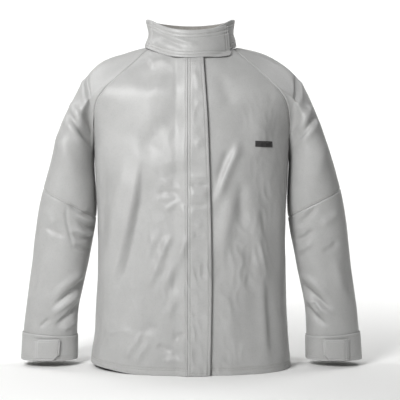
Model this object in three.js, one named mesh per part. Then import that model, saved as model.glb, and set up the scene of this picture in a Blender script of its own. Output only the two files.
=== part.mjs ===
// A stand-collar leather welding jacket with raglan sleeves, a snapped storm flap and cuff tabs.
// Millimetres, +Z up, the front faces -Y, and the wearer's left is +X. The hem rests on z = 0.
import * as THREE from "three";

// Leather and clearances
const leather = 1.5;            // one ply of split cowhide
const gap = 0.3;                // clearance between pieces that touch
const seamGap = 1.2;            // clearance between panels that meet edge to edge
const hemFold = 22;             // height of the turned-up hem

// Body
const sideLength = 520;         // hem to underarm
const neckFrontRise = 202;      // underarm to the neckline at the centre front
const neckBackRise = 245;       // underarm to the neckline at the centre back
const hemHalfWidth = 236;
const waistHalfWidth = 225;
const chestHalfWidth = 233;
const waistHeight = 240;
const hemFrontDepth = 150;      // centre of the body to the front panel at the hem
const frontLean = 0.0467;       // how far the front leans back for each millimetre of height
const chestHeight = 612;        // above this the front also curves back to the neck
const neckSetBack = 20;
const hemBackDepth = 140;
const waistBackDepth = 136;
const bladeDepth = 138;         // at the shoulder blades, level with the underarm
const neckHalfWidth = 108;
const neckBackDepth = 76;
const bodyPower = 2.5;          // how square the body's outline is; 2 is an ellipse
const neckPower = 2;

// Raglan seams, from the underarm to the neckline
const frontSeamAngle = 70;      // degrees round the neckline from the centre front
const backSeamAngle = 125;
const frontSeamShape = [[0.015, 0.33, 0.17], [0.07, 0.63, 0.4], [0.23, 0.73, 0.55],
  [0.5, 0.66, 0.71], [0.755, 0.49, 0.856]];   // shares: inwards, of chest depth, upwards
const backSeamShape = [[0.01, 0.32, 0.12], [0.05, 0.61, 0.29], [0.23, 0.77, 0.49],
  [0.5, 0.74, 0.69], [0.78, 0.51, 0.88]];

// Sleeve sections, by their drop below the underarm; standOff is from the body's side
const sleeveSections = [
  { drop: 40, standOff: 3, halfWidth: 52, halfDepth: 78, forward: 0 },
  { drop: 156, standOff: 3, halfWidth: 70, halfDepth: 72, forward: -4 },
  { drop: 283, standOff: 26, halfWidth: 67, halfDepth: 60, forward: 0 },
  { drop: 381, standOff: 43, halfWidth: 63, halfDepth: 50, forward: 8 },
  { drop: 505, standOff: 40, halfWidth: 65, halfDepth: 42, forward: 14 },
];
const sleevePower = 2.2;
const capReach = [0.61, 0.38];  // shoulder curve handles, as shares of the span they bridge
const elbowSeamDrop = { outer: 97, inner: 168 };
const forearmDrop = 290;        // where the elbow panel ends
const cuffDepth = 56;

// Storm flap, snaps and front strips
const hingeX = -7;              // the stitched edge of the storm flap
const rightEdgeX = -8.4;        // the right front panel ends here
const leftEdgeX = -5;           // the left front panel ends here
const snapX = 18;
const flapReach = { top: 26, chest: 37, waist: 45 };
const facingWidth = 66;
const rampWidth = 26;           // over which the right front rises to the flap
const flapTopDrop = 10;         // neckline to the top of the flap
const flapLift = 8;             // hem to the bottom of the flap
const snapCount = 7;
const snapPitch = 91;
const firstSnap = 65;
const snap = { radius: 6.5, flange: 0.8, nub: 2.5, nubRise: 1.8, fit: 0.4, roof: 0.5, room: 0.5 };

// Collar
const collarFrontHeight = 55;
const collarSideHeight = 63;
const collarLift = 2.4;           // neckline to the bottom of the collar
const collarTaper = 6;          // how far the top edge leans in
const collarHinge = -14;        // degrees from the centre front to the tab's fold
const collarTabEnd = 62;
const collarUnderEnd = 2;
const collarRampEnd = -48;
const hookPatch = { from: 36, to: 57, loop: 1.5, hook: 1.2 };

// Small pieces
const chestPatch = { x: 166, z: 521, width: 40, height: 13, thickness: 0.8, lift: 1.3 };
const hangerLoop = { halfLength: 30, width: 9, bulge: 8, belowNeck: 14 };
const neckFacingDepth = 60;
const cuffTab = { fold: -26, free: 36, bottomGap: 7, height: 40, cornerCut: 9, snapAt: 24 };

const underarm = sideLength;
const neckFront = underarm + neckFrontRise;
const neckBack = underarm + neckBackRise;
const degrees = Math.PI / 180;

// Stack of plies at the front: placket, stud, socket, flap lining and flap
const placketTop = gap + leather;
const studBase = placketTop + gap;
const socketBase = studBase + snap.flange + gap;
const socketHeight = snap.nubRise + snap.roof;
const liningBase = socketBase + socketHeight + snap.room;
const flapBase = liningBase + leather + gap;
const flapTop = flapBase + leather;

// Stack at the collar: loop patch, hook patch, tab lining and tab
const hookBase = gap + hookPatch.loop + gap;
const tabLiningBase = hookBase + hookPatch.hook + gap;
const tabBase = tabLiningBase + leather + gap;
const tabTop = tabBase + leather;

const bodyY = (hemFrontDepth + flapTop - hemBackDepth) / 2;   // centres the jacket's box

const range = (from, to) => Array.from({ length: to - from + 1 }, (_, k) => from + k);
const lerp = THREE.MathUtils.lerp;
const smoothstep = THREE.MathUtils.smoothstep;

// A smooth curve through [position, value] pairs.
function profile(points) {
  const last = points.length - 1;
  const slopes = points.map((_, i) => {
    const before = points[Math.max(i - 1, 0)];
    const after = points[Math.min(i + 1, last)];
    return (after[1] - before[1]) / (after[0] - before[0]);
  });
  return (at) => {
    let i = 0;
    while (i < last - 1 && at > points[i + 1][0]) i += 1;
    const [x0, y0] = points[i];
    const [x1, y1] = points[i + 1];
    const span = x1 - x0;
    const s = THREE.MathUtils.clamp((at - x0) / span, 0, 1);
    const bend = s * s * (3 - 2 * s);
    return lerp(y0, y1, bend) + span * s * (1 - s) * ((1 - s) * slopes[i] - s * slopes[i + 1]);
  };
}

const bodyHalfWidth = profile([[0, hemHalfWidth], [waistHeight, waistHalfWidth],
  [underarm, chestHalfWidth]]);
const backDepth = profile([[0, hemBackDepth], [waistHeight, waistBackDepth],
  [underarm, bladeDepth], [lerp(underarm, neckBack, 0.6), bladeDepth - 16],
  [neckBack, neckBackDepth]]);
const flapEdge = profile([[0, flapReach.waist - 3], [waistHeight, flapReach.waist],
  [underarm + 40, flapReach.chest], [neckFront, flapReach.top]]);

function frontDepth(z) {
  const climb = Math.max(0, z - chestHeight) / (neckFront - chestHeight);
  return hemFrontDepth - frontLean * z - neckSetBack * climb * climb;
}

// The neckline, by angle from the centre front towards +X.
function neckPoint(angle) {
  const turn = angle * degrees;
  const depth = Math.abs(angle) < 90 ? frontDepth(neckFront) : neckBackDepth;
  const rise = smoothstep(Math.abs(angle), 0, 110);
  return new THREE.Vector3(neckHalfWidth * Math.sin(turn), bodyY - depth * Math.cos(turn),
    lerp(neckFront, neckBack, rise));
}

// The raglan seam on the +X side, from the underarm to the neckline.
function raglanSeam(angle, shape) {
  const start = new THREE.Vector3(chestHalfWidth, bodyY, underarm);
  const end = neckPoint(angle);
  const reach = angle < 90 ? -frontDepth(underarm) : bladeDepth;
  const between = shape.map(([inwards, depth, up]) => new THREE.Vector3(
    lerp(start.x, end.x, inwards), bodyY + reach * depth, lerp(start.z, end.z, up)));
  return new THREE.CatmullRomCurve3([start, ...between, end], false, "centripetal");
}
const frontSeam = raglanSeam(frontSeamAngle, frontSeamShape);
const backSeam = raglanSeam(backSeamAngle, backSeamShape);

// Rows shared by every ply of the body: levels below the underarm, then shares of the way up.
const levelPitch = 90;
const lowerLevels = [0, flapLift, hemFold, hemFold + 1,
  ...range(1, 5).map((k) => hemFold + k * levelPitch).filter((z) => z < underarm - levelPitch / 3)];
const upperShares = [0, 0.14, 0.28, 0.42, 0.56, 0.7, 0.84,
  1 - flapTopDrop / neckFrontRise, 1];
const rows = [...lowerLevels.map((z) => ({ z, share: -1 })),
  ...upperShares.map((share) => ({ z: underarm, share }))];

// One row of the body's outline, on the front or the back, ending at a side or raglan seam.
function bodyRow({ z, share }, isFront) {
  const depthAt = isFront ? frontDepth : backDepth;
  if (share < 0) {
    return { width: bodyHalfWidth(z), depth: depthAt(z), power: bodyPower, centreZ: z, seamZ: z,
      end: Math.PI / 2 - seamGap / 2 / chestHalfWidth };
  }
  const seam = (isFront ? frontSeam : backSeam).getPoint(share);
  const centreZ = lerp(underarm, isFront ? neckFront : neckBack, share);
  const depth = depthAt(centreZ);
  const power = lerp(bodyPower, neckPower, share);
  const seamY = Math.abs(seam.y - bodyY);
  const width = seam.x / (1 - (seamY / depth) ** power) ** (1 / power);
  return { width, depth, power, centreZ, seamZ: seam.z,
    end: Math.atan2(seam.x, seamY) - seamGap / 2 / seam.x };
}

// A point of a row, by its angle from the centre line.
function rowPoint(row, angle, isFront) {
  const across = Math.abs(Math.sin(angle)) / row.width;
  const along = Math.abs(Math.cos(angle)) / row.depth;
  const radius = (across ** row.power + along ** row.power) ** (-1 / row.power);
  const climb = smoothstep(Math.abs(angle), 0, 110 * degrees);
  const z = lerp(row.centreZ, row.seamZ, climb / smoothstep(row.end, 0, 110 * degrees));
  const y = radius * Math.cos(angle);
  return new THREE.Vector3(radius * Math.sin(angle), bodyY + (isFront ? -y : y), z);
}

function angleAtX(row, x) {
  const y = row.depth * (1 - (Math.abs(x) / row.width) ** row.power) ** (1 / row.power);
  return Math.atan2(x, y);
}

// A grid is a list of rows of points; each point gets the grid's normal, turned away from inside.
function makeGrid(points, closed, inside) {
  return points.map((row, j) => row.map((point, i) => {
    const count = row.length;
    const next = closed ? row[(i + 1) % count] : row[Math.min(i + 1, count - 1)];
    const before = closed ? row[(i + count - 1) % count] : row[Math.max(i - 1, 0)];
    const above = points[Math.min(j + 1, points.length - 1)][i];
    const below = points[Math.max(j - 1, 0)][i];
    const normal = next.clone().sub(before).cross(above.clone().sub(below)).normalize();
    if (normal.dot(point.clone().sub(inside(point))) < 0) normal.negate();
    return { point, normal };
  }));
}

// Part of a grid, at whole or part column and row numbers.
function subGrid(grid, columns, rowNumbers) {
  const mix = (a, b, share) => ({ point: a.point.clone().lerp(b.point, share),
    normal: a.normal.clone().lerp(b.normal, share) });
  return rowNumbers.map((j) => columns.map((i) => {
    const j0 = Math.min(Math.floor(j), grid.length - 2);
    const i0 = Math.min(Math.floor(i), grid[0].length - 2);
    const low = mix(grid[j0][i0], grid[j0][i0 + 1], i - i0);
    const high = mix(grid[j0 + 1][i0], grid[j0 + 1][i0 + 1], i - i0);
    return mix(low, high, j - j0);
  }));
}

// Two part numbers and every whole number between them.
const stops = (from, to) => [from, ...range(Math.floor(from) + 1, Math.ceil(to) - 1), to];

// A ply: the closed solid between two offsets from a grid.
function ply(grid, outer, inner, closed = false) {
  const high = grid.length;
  const wide = grid[0].length;
  const offset = (amount, i, j) => (typeof amount === "function" ? amount(i, j) : amount);
  const positions = [];
  for (const amount of [outer, inner]) {
    grid.forEach((row, j) => row.forEach(({ point, normal }, i) => {
      positions.push(...point.clone().addScaledVector(normal, offset(amount, i, j)).toArray());
    }));
  }
  const at = (side, i, j) => side * high * wide + j * wide + (i % wide);
  const index = [];
  const quad = (a, b, c, d) => index.push(a, b, c, a, c, d);
  const columns = closed ? wide : wide - 1;
  for (let j = 0; j < high - 1; j += 1) {
    for (let i = 0; i < columns; i += 1) {
      quad(at(0, i, j), at(0, i + 1, j), at(0, i + 1, j + 1), at(0, i, j + 1));
      quad(at(1, i, j), at(1, i, j + 1), at(1, i + 1, j + 1), at(1, i + 1, j));
    }
    if (!closed) {
      quad(at(0, 0, j), at(0, 0, j + 1), at(1, 0, j + 1), at(1, 0, j));
      quad(at(0, columns, j), at(1, columns, j), at(1, columns, j + 1), at(0, columns, j + 1));
    }
  }
  for (let i = 0; i < columns; i += 1) {
    quad(at(0, i, 0), at(1, i, 0), at(1, i + 1, 0), at(0, i + 1, 0));
    quad(at(0, i, high - 1), at(0, i + 1, high - 1), at(1, i + 1, high - 1), at(1, i, high - 1));
  }
  const corner = (k) => new THREE.Vector3().fromArray(positions, 3 * index[k]);
  let volume = 0;
  for (let k = 0; k < index.length; k += 3) {
    volume += corner(k).dot(corner(k + 1).cross(corner(k + 2)));
  }
  if (volume < 0) index.reverse();
  const geometry = new THREE.BufferGeometry();
  geometry.setAttribute("position", new THREE.Float32BufferAttribute(positions, 3));
  geometry.setIndex(index);
  geometry.computeVertexNormals();
  return geometry;
}

const finish = (color, roughness, metalness = 0) =>
  new THREE.MeshStandardMaterial({ color, roughness, metalness });
const palePearlLeather = finish(0xb4b3b1, 0.62);
const liningLeather = finish(0x8e8c89, 0.8);
const nickel = finish(0xc9c8c4, 0.3, 1);
const hookTape = finish(0x6d6d6d, 0.95);
const patchLeather = finish(0x4c4a49, 0.7);

const jacket = new THREE.Group();

function add(name, geometry, material) {
  const mesh = new THREE.Mesh(geometry, material);
  mesh.name = name;
  jacket.add(mesh);
  return mesh;
}

const bodyInside = (point) => new THREE.Vector3(0, bodyY, Math.min(point.z, underarm));
const neckInside = (point) => new THREE.Vector3(0, bodyY, point.z);
const mirrored = (points, side) => points.map((row) => row.map((point) =>
  new THREE.Vector3(point.x * side, point.y, point.z)));

// Front panels. The first columns follow the strips at the centre, the rest fan out to the seam.
const fanColumns = 7;
function frontPoints(stripXs) {
  return rows.map((level) => {
    const row = bodyRow(level, true);
    const strip = stripXs(row.centreZ).map((x) => angleAtX(row, x));
    const last = strip[strip.length - 1];
    const fan = range(1, fanColumns).map((k) => lerp(last, row.end, k / fanColumns));
    return [...strip, ...fan].map((angle) => rowPoint(row, angle, true));
  });
}
const leftGrid = makeGrid(frontPoints((z) => [hingeX, leftEdgeX, snapX, flapEdge(z), facingWidth]),
  false, bodyInside);
const rightGrid = makeGrid(mirrored(
  frontPoints(() => [-rightEdgeX, rampWidth - rightEdgeX, facingWidth]), -1), false, bodyInside);
const topRow = rows.length - 1;
const levelHem = (grid) => grid[0].forEach(({ normal }) => normal.setZ(0).normalize());
levelHem(leftGrid);
levelHem(rightGrid);
const hemRow = lowerLevels.indexOf(hemFold);
const wholeGrid = (grid, fromColumn = 0) => subGrid(grid, range(fromColumn, grid[0].length - 1),
  range(0, topRow));
const foldedHem = (i, j) => (j <= hemRow ? -2 * leather - gap : -leather);
const rise = (i, j) => (i === 0 && j < topRow ? flapTop : 0);

add("left_front_panel", ply(wholeGrid(leftGrid, 1), 0, foldedHem), palePearlLeather);
add("right_front_panel", ply(wholeGrid(rightGrid), rise, (i, j) => rise(i, j) + foldedHem(i, j)),
  palePearlLeather);
const facingRows = range(hemRow + 1, topRow);
const facingOuter = -leather - gap;
const facingInner = facingOuter - leather;
add("left_front_facing", ply(subGrid(leftGrid, range(1, 4), facingRows), facingOuter, facingInner),
  liningLeather);
add("right_front_facing", ply(subGrid(rightGrid, range(0, 2), facingRows),
  (i, j) => rise(i, j + hemRow + 1) + facingOuter,
  (i, j) => rise(i, j + hemRow + 1) + facingInner), liningLeather);

// Back panel
const backColumns = 16;
const backGrid = makeGrid(rows.map((level) => {
  const row = bodyRow(level, false);
  return range(0, backColumns).map((k) =>
    rowPoint(row, lerp(-row.end, row.end, k / backColumns), false));
}), false, bodyInside);
levelHem(backGrid);
add("back_panel", ply(backGrid, 0, foldedHem), palePearlLeather);
const topStep = (1 - upperShares[upperShares.length - 2]) * neckBackRise;
const aboveFacing = topRow - 1 - (neckFacingDepth - topStep)
  / ((upperShares[upperShares.length - 2] - upperShares[upperShares.length - 3]) * neckBackRise);
add("back_neck_facing", ply(subGrid(backGrid, range(2, backColumns - 2),
  [Math.max(aboveFacing, topRow - 2), topRow - 1, topRow]), facingOuter, facingInner),
  liningLeather);
const loopRow = topRow - hangerLoop.belowNeck / topStep;
const loopSpan = hangerLoop.halfLength / (neckHalfWidth / (backColumns / 2));
const loopSteps = 8;
const loopBase = subGrid(backGrid, range(0, loopSteps).map((k) =>
  backColumns / 2 + lerp(-loopSpan, loopSpan, k / loopSteps)),
[loopRow, loopRow + hangerLoop.width / topStep]);
const loopOffset = (i) => facingInner - gap - hangerLoop.bulge * Math.sin(Math.PI * i / loopSteps);
add("hanger_loop", ply(loopBase, loopOffset, (i) => loopOffset(i) - leather), liningLeather);

// Storm flap, hinged at its stitched edge, and the placket it closes on
const flapRows = range(lowerLevels.indexOf(flapLift), topRow - 1);
const placketGrid = subGrid(leftGrid, range(1, 3), flapRows);
add("left_snap_placket", ply(placketGrid, placketTop, gap), palePearlLeather);
const flapGrid = subGrid(leftGrid, [0, 2, 3], flapRows);
add("storm_flap_outer", ply(flapGrid, flapTop, flapBase), palePearlLeather);
add("storm_flap_lining", ply(flapGrid, liningBase + leather, liningBase), liningLeather);

// Snap fasteners: a stud with a nub, and a socket that closes over it
const snapSides = 10;
function lathe(outline) {
  return new THREE.LatheGeometry(outline.map(([r, h]) => new THREE.Vector2(r, h)), snapSides);
}
const studShape = () => lathe([[0, 0], [snap.radius, 0], [snap.radius, snap.flange],
  [snap.nub, snap.flange], [snap.nub, snap.flange + snap.nubRise], [0, snap.flange + snap.nubRise]]);
const socketShape = () => lathe([[0, snap.nubRise], [snap.nub + snap.fit, snap.nubRise],
  [snap.nub + snap.fit, 0], [snap.radius, 0], [snap.radius, socketHeight], [0, socketHeight]]);
const axisUp = new THREE.Vector3(0, 1, 0);
function addSnapPart(name, geometry, { point, normal }, height) {
  const mesh = add(name, geometry, nickel);
  mesh.position.copy(point).addScaledVector(normal, height);
  mesh.quaternion.setFromUnitVectors(axisUp, normal.clone().normalize());
}
function frontSite(x, z) {
  const place = (px, pz) => {
    const row = bodyRow(pz < underarm ? { z: pz, share: -1 }
      : { z: underarm, share: (pz - underarm) / neckFrontRise }, true);
    return rowPoint(row, angleAtX(row, px), true);
  };
  const point = place(x, z);
  const normal = place(x + 1, z).sub(point).cross(place(x, z + 1).sub(point)).normalize();
  return { point, normal };
}
for (let k = 0; k < snapCount; k += 1) {
  const site = frontSite(snapX, firstSnap + k * snapPitch);
  addSnapPart(`snap_stud_${k + 1}`, studShape(), site, studBase);
  addSnapPart(`snap_socket_${k + 1}`, socketShape(), site, socketBase);
}

// Blank leather patch on the wearer's left chest
const chestColumn = leftGrid[lowerLevels.length].findIndex(({ point }) => point.x > chestPatch.x);
const columnHeights = leftGrid.map((row) => row[chestColumn].point.z);
function rowAtHeight(z) {
  const j = columnHeights.findIndex((height) => height > z) - 1;
  return j + (z - columnHeights[j]) / (columnHeights[j + 1] - columnHeights[j]);
}
const chestRow = leftGrid[Math.floor(rowAtHeight(chestPatch.z))];
const halfPatch = chestPatch.width / 2 / chestRow[chestColumn].point
  .distanceTo(chestRow[chestColumn - 1].point);
const patchGrid = subGrid(leftGrid, stops(chestColumn - halfPatch, chestColumn + halfPatch),
  stops(rowAtHeight(chestPatch.z - chestPatch.height / 2),
    rowAtHeight(chestPatch.z + chestPatch.height / 2)));
add("chest_patch", ply(patchGrid, chestPatch.lift + chestPatch.thickness, chestPatch.lift), patchLeather);

// Collar: a standing band round the neck, its lining, and a tab that crosses the front
function collarPoint(angle, share) {
  const base = neckPoint(angle);
  const turn = angle * degrees;
  const height = lerp(collarFrontHeight, collarSideHeight, smoothstep(Math.abs(angle), 0, 90));
  return new THREE.Vector3(base.x - share * collarTaper * Math.sin(turn),
    base.y + share * collarTaper * Math.cos(turn), base.z + collarLift + share * height);
}
function collarGrid(angles) {
  return makeGrid([0, 0.5, 1].map((share) => angles.map((angle) =>
    collarPoint(angle > 180 ? angle - 360 : angle, share))), false, neckInside);
}
const tabAngles = range(0, 8).map((k) => lerp(collarHinge, collarTabEnd, k / 8));
const underAngles = tabAngles.filter((angle) => angle > collarUnderEnd);
const backAngles = range(1, 14).map((k) => lerp(collarTabEnd, 360 + collarRampEnd, k / 14));
const rampAngles = [360 + collarRampEnd * 0.7, 360 + collarHinge - 1];
const bandAngles = [collarUnderEnd, ...underAngles, ...backAngles, ...rampAngles];
const bandGrid = collarGrid(bandAngles);
const bandRise = (i) => tabTop * smoothstep(bandAngles[i], 360 + collarRampEnd, 360 + collarHinge);
add("collar_band", ply(bandGrid, bandRise, (i) => bandRise(i) - leather), palePearlLeather);
add("collar_lining", ply(bandGrid, (i) => bandRise(i) - leather - gap,
  (i) => bandRise(i) - 2 * leather - gap), liningLeather);
const tabGrid = collarGrid(tabAngles);
add("collar_tab", ply(tabGrid, tabTop, tabBase), palePearlLeather);
add("collar_tab_lining", ply(tabGrid, tabLiningBase + leather, tabLiningBase), liningLeather);
const tabStep = (collarTabEnd - collarHinge) / 8;
const tapeColumns = stops((hookPatch.from - collarHinge) / tabStep,
  (hookPatch.to - collarHinge) / tabStep);
const tapeGrid = subGrid(tabGrid, tapeColumns, [0.4, 1, 1.6]);
add("collar_loop_tape", ply(tapeGrid, gap + hookPatch.loop, gap), hookTape);
add("collar_hook_tape", ply(tapeGrid, hookBase + hookPatch.hook, hookBase), hookTape);

// Sleeves, built on the +X side and mirrored
const section = (key) => profile(sleeveSections.map((ring) => [ring.drop, ring[key]]));
const standOff = section("standOff");
const sleeveHalfWidth = section("halfWidth");
const sleeveHalfDepth = section("halfDepth");
const sleeveForward = section("forward");
function sleevePoint(drop, turn) {
  const across = Math.abs(Math.cos(turn)) / sleeveHalfWidth(drop);
  const along = Math.abs(Math.sin(turn)) / sleeveHalfDepth(drop);
  const radius = (across ** sleevePower + along ** sleevePower) ** (-1 / sleevePower);
  const z = underarm - drop;
  const centre = bodyHalfWidth(Math.max(z, 0)) + standOff(drop) + sleeveHalfWidth(drop);
  return new THREE.Vector3(centre - radius * Math.cos(turn),
    bodyY - sleeveForward(drop) - radius * Math.sin(turn), z);
}

// The armhole ring: up the front seam, along the neckline and down the back seam
const neckSteps = 2;
const armhole = [
  ...upperShares.slice(0, -1).map((share) => frontSeam.getPoint(share)),
  ...range(0, neckSteps).map((k) =>
    neckPoint(lerp(frontSeamAngle, backSeamAngle, k / neckSteps))),
  ...upperShares.slice(1, -1).reverse().map((share) => backSeam.getPoint(share)),
];
const armholeLengths = armhole.reduce((sums, point, i) => {
  sums.push(i === 0 ? 0 : sums[i - 1] + point.distanceTo(armhole[i - 1]));
  return sums;
}, []);
const armholeLength = armholeLengths[armhole.length - 1] + armhole[armhole.length - 1]
  .distanceTo(armhole[0]);
const sleeveTurns = armholeLengths.map((length) => 2 * Math.PI * length / armholeLength);
const armholeDrop = sleeveSections[0].drop;

function capPoint(i, share) {
  const turn = sleeveTurns[i];
  const start = sleevePoint(armholeDrop, turn);
  const end = armhole[i];
  const span = start.distanceTo(end);
  const outwards = Math.sin(turn / 2) ** 2;
  const lean = sleevePoint(armholeDrop, turn).sub(sleevePoint(armholeDrop + 40, turn)).normalize();
  const away = new THREE.Vector3(0.98 * outwards, 0, -0.19 * outwards - (1 - outwards)).normalize();
  const curve = new THREE.CubicBezierCurve3(start,
    start.clone().addScaledVector(lean, span * lerp(0.35, capReach[0], outwards)),
    end.clone().addScaledVector(away, span * lerp(0.35, capReach[1], outwards)), end);
  return curve.getPoint(share * (1 - seamGap / span));
}

const elbowDrop = (turn) => lerp(elbowSeamDrop.inner, elbowSeamDrop.outer,
  Math.sin(turn / 2) ** 2);
const cuffDrop = sleeveSections[sleeveSections.length - 1].drop;
const cuffTop = cuffDrop - cuffDepth;
const armCentre = (point) => new THREE.Vector3(Math.sign(point.x) * (bodyHalfWidth(0)
  + standOff(underarm - point.z) + sleeveHalfWidth(underarm - point.z)), bodyY, point.z);
const capCentre = (point) => new THREE.Vector3(Math.sign(point.x) * (chestHalfWidth * 0.9),
  bodyY, underarm);

for (const [name, side] of [["right", -1], ["left", 1]]) {
  const tube = (drops, turns = sleeveTurns, closed = true) => makeGrid(mirrored(drops.map((drop) =>
    turns.map((turn) => sleevePoint(typeof drop === "function" ? drop(turn) : drop, turn))),
  side), closed, armCentre);

  const cap = mirrored([0, 0.12, 0.26, 0.42, 0.6, 0.8, 1].map((share) =>
    armhole.map((_, i) => capPoint(i, share))), side);
  add(`${name}_shoulder_panel`, ply(makeGrid(cap, true, capCentre), 0, -leather, true),
    palePearlLeather);
  const upperDrops = [0, 0.5, 1].map((share) => (turn) =>
    lerp(armholeDrop + gap, elbowDrop(turn) - gap, share));
  add(`${name}_upper_sleeve`, ply(tube(upperDrops), 0, -leather, true), palePearlLeather);
  const elbowDrops = [0, 0.34, 0.67, 1].map((share) => (turn) =>
    lerp(elbowDrop(turn), forearmDrop, share));
  add(`${name}_elbow_panel`, ply(tube(elbowDrops), 0, -leather, true), palePearlLeather);

  // The forearm is two panels, sewn along the inner and outer sides
  const forearmDrops = [forearmDrop + gap, ...[0.35, 0.7].map((share) =>
    lerp(forearmDrop, cuffTop, share)), cuffTop, cuffDrop];
  const half = sleeveTurns.findIndex((turn) => turn > Math.PI);
  const seamTurn = seamGap / 2 / sleeveHalfDepth(cuffDrop);
  const frontTurns = [seamTurn, ...sleeveTurns.slice(1, half), Math.PI - seamTurn];
  const backTurns = [Math.PI + seamTurn, ...sleeveTurns.slice(half), 2 * Math.PI - seamTurn];
  add(`${name}_forearm_front_panel`, ply(tube(forearmDrops, frontTurns, false), 0, -leather),
    palePearlLeather);
  add(`${name}_forearm_back_panel`, ply(tube(forearmDrops, backTurns, false), 0, -leather),
    palePearlLeather);
  const bandTurns = [...sleeveTurns.slice(0, half), Math.PI, ...sleeveTurns.slice(half)];
  add(`${name}_cuff_band`, ply(tube([cuffTop, cuffDrop], bandTurns), 2 * gap + leather,
    2 * gap, true), palePearlLeather);

  // The cuff tab folds at its outer end and snaps down on the front of the cuff
  const bandTop = 2 * gap + leather;
  const cuffStud = bandTop + gap;
  const cuffSocket = cuffStud + snap.flange + gap;
  const tabUnder = cuffSocket + socketHeight + gap;
  const cuffMiddle = cuffDrop - cuffTab.bottomGap - cuffTab.height / 2;
  const turnAt = (across) => Math.PI / 2 - Math.asin(across / sleeveHalfWidth(cuffMiddle));
  const tabTurns = range(0, 4).map((k) => turnAt(lerp(cuffTab.fold, cuffTab.free, k / 4)));
  const corner = (turn) => (turn === tabTurns[4] ? cuffTab.cornerCut : 0);
  const tabDrops = [(turn) => cuffDrop - cuffTab.bottomGap - corner(turn),
    () => cuffMiddle, () => cuffDrop - cuffTab.bottomGap - cuffTab.height];
  const tabPly = tube(tabDrops, tabTurns, false);
  add(`${name}_cuff_tab`, ply(tabPly, tabUnder + 2 * leather, tabUnder), palePearlLeather);
  const [site] = subGrid(tabPly, [4 * (cuffTab.snapAt - cuffTab.fold)
    / (cuffTab.free - cuffTab.fold)], [1])[0];
  addSnapPart(`${name}_cuff_stud`, studShape(), site, cuffStud);
  addSnapPart(`${name}_cuff_socket`, socketShape(), site, cuffSocket);
}

export default jacket;
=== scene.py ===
import bpy
import math
import numpy as np
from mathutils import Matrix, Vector


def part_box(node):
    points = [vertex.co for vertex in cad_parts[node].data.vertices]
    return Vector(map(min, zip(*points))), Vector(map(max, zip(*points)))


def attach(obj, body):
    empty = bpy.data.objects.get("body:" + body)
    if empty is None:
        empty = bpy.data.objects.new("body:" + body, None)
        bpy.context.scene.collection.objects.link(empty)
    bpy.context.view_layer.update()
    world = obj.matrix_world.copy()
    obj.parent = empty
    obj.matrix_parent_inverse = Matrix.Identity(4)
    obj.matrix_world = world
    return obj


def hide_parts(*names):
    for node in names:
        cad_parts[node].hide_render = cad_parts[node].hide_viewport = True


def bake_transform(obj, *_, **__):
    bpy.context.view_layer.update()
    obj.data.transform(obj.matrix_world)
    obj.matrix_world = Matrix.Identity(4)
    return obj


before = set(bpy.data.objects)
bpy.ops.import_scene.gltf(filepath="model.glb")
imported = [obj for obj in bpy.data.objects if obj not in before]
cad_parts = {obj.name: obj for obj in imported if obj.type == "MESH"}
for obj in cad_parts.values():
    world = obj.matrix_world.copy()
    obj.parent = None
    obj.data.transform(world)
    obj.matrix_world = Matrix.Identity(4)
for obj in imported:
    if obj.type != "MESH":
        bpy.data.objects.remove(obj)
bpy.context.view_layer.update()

mm = 0.001


def smooth(low, high, at):
    share = np.clip((np.asarray(at, float) - low) / (high - low), 0, 1)
    return share * share * (3 - 2 * share)


def mix(a, b, share):
    return a + (b - a) * share


def unit(vectors):
    return vectors / np.maximum(np.linalg.norm(vectors, axis=-1, keepdims=True), 1e-9)


def curveThrough(pairs):  # a smooth curve through (position, value) pairs
    at, value = np.array(pairs, float).T
    slope = np.empty(len(at))
    slope[1:-1] = (value[2:] - value[:-2]) / (at[2:] - at[:-2])
    slope[0] = (value[1] - value[0]) / (at[1] - at[0])
    slope[-1] = (value[-1] - value[-2]) / (at[-1] - at[-2])

    def read(x):
        i = np.clip(np.searchsorted(at, x) - 1, 0, len(at) - 2)
        span = at[i + 1] - at[i]
        s = np.clip((x - at[i]) / span, 0, 1)
        bend = s * s * (3 - 2 * s)
        tilt = (1 - s) * slope[i] - s * slope[i + 1]
        return mix(value[i], value[i + 1], bend) + span * s * (1 - s) * tilt
    return read


def lengthsAlong(points):  # the distance of each point from the first, along the line
    return np.concatenate([[0], np.cumsum(np.linalg.norm(np.diff(points, axis=0), axis=1))])


def readAt(at, lengths, values):
    return np.stack([np.interp(at, lengths, values[:, k]) for k in range(3)], -1)


def nearest(values, target):
    return int(np.argmin(np.abs(values - target)))


def dip(distance, place, depth, width=1.0):  # a groove, as a thread pulls the leather down
    return -depth * np.exp(-((distance - place) / width) ** 2)


def throughPoints(points, count):  # a smooth line through a few points
    pts = np.array(points, float)
    ends = np.vstack([2 * pts[0] - pts[1], pts, 2 * pts[-1] - pts[-2]])
    at = np.linspace(0, len(pts) - 1 - 1e-6, count)
    i = at.astype(int)
    s = (at - i)[:, None]
    p0, p1, p2, p3 = ends[i], ends[i + 1], ends[i + 2], ends[i + 3]
    return 0.5 * (2 * p1 + (p2 - p0) * s + (2 * p0 - 5 * p1 + 4 * p2 - p3) * s ** 2
                  + (3 * p1 - p0 - 3 * p2 + p3) * s ** 3)


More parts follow.
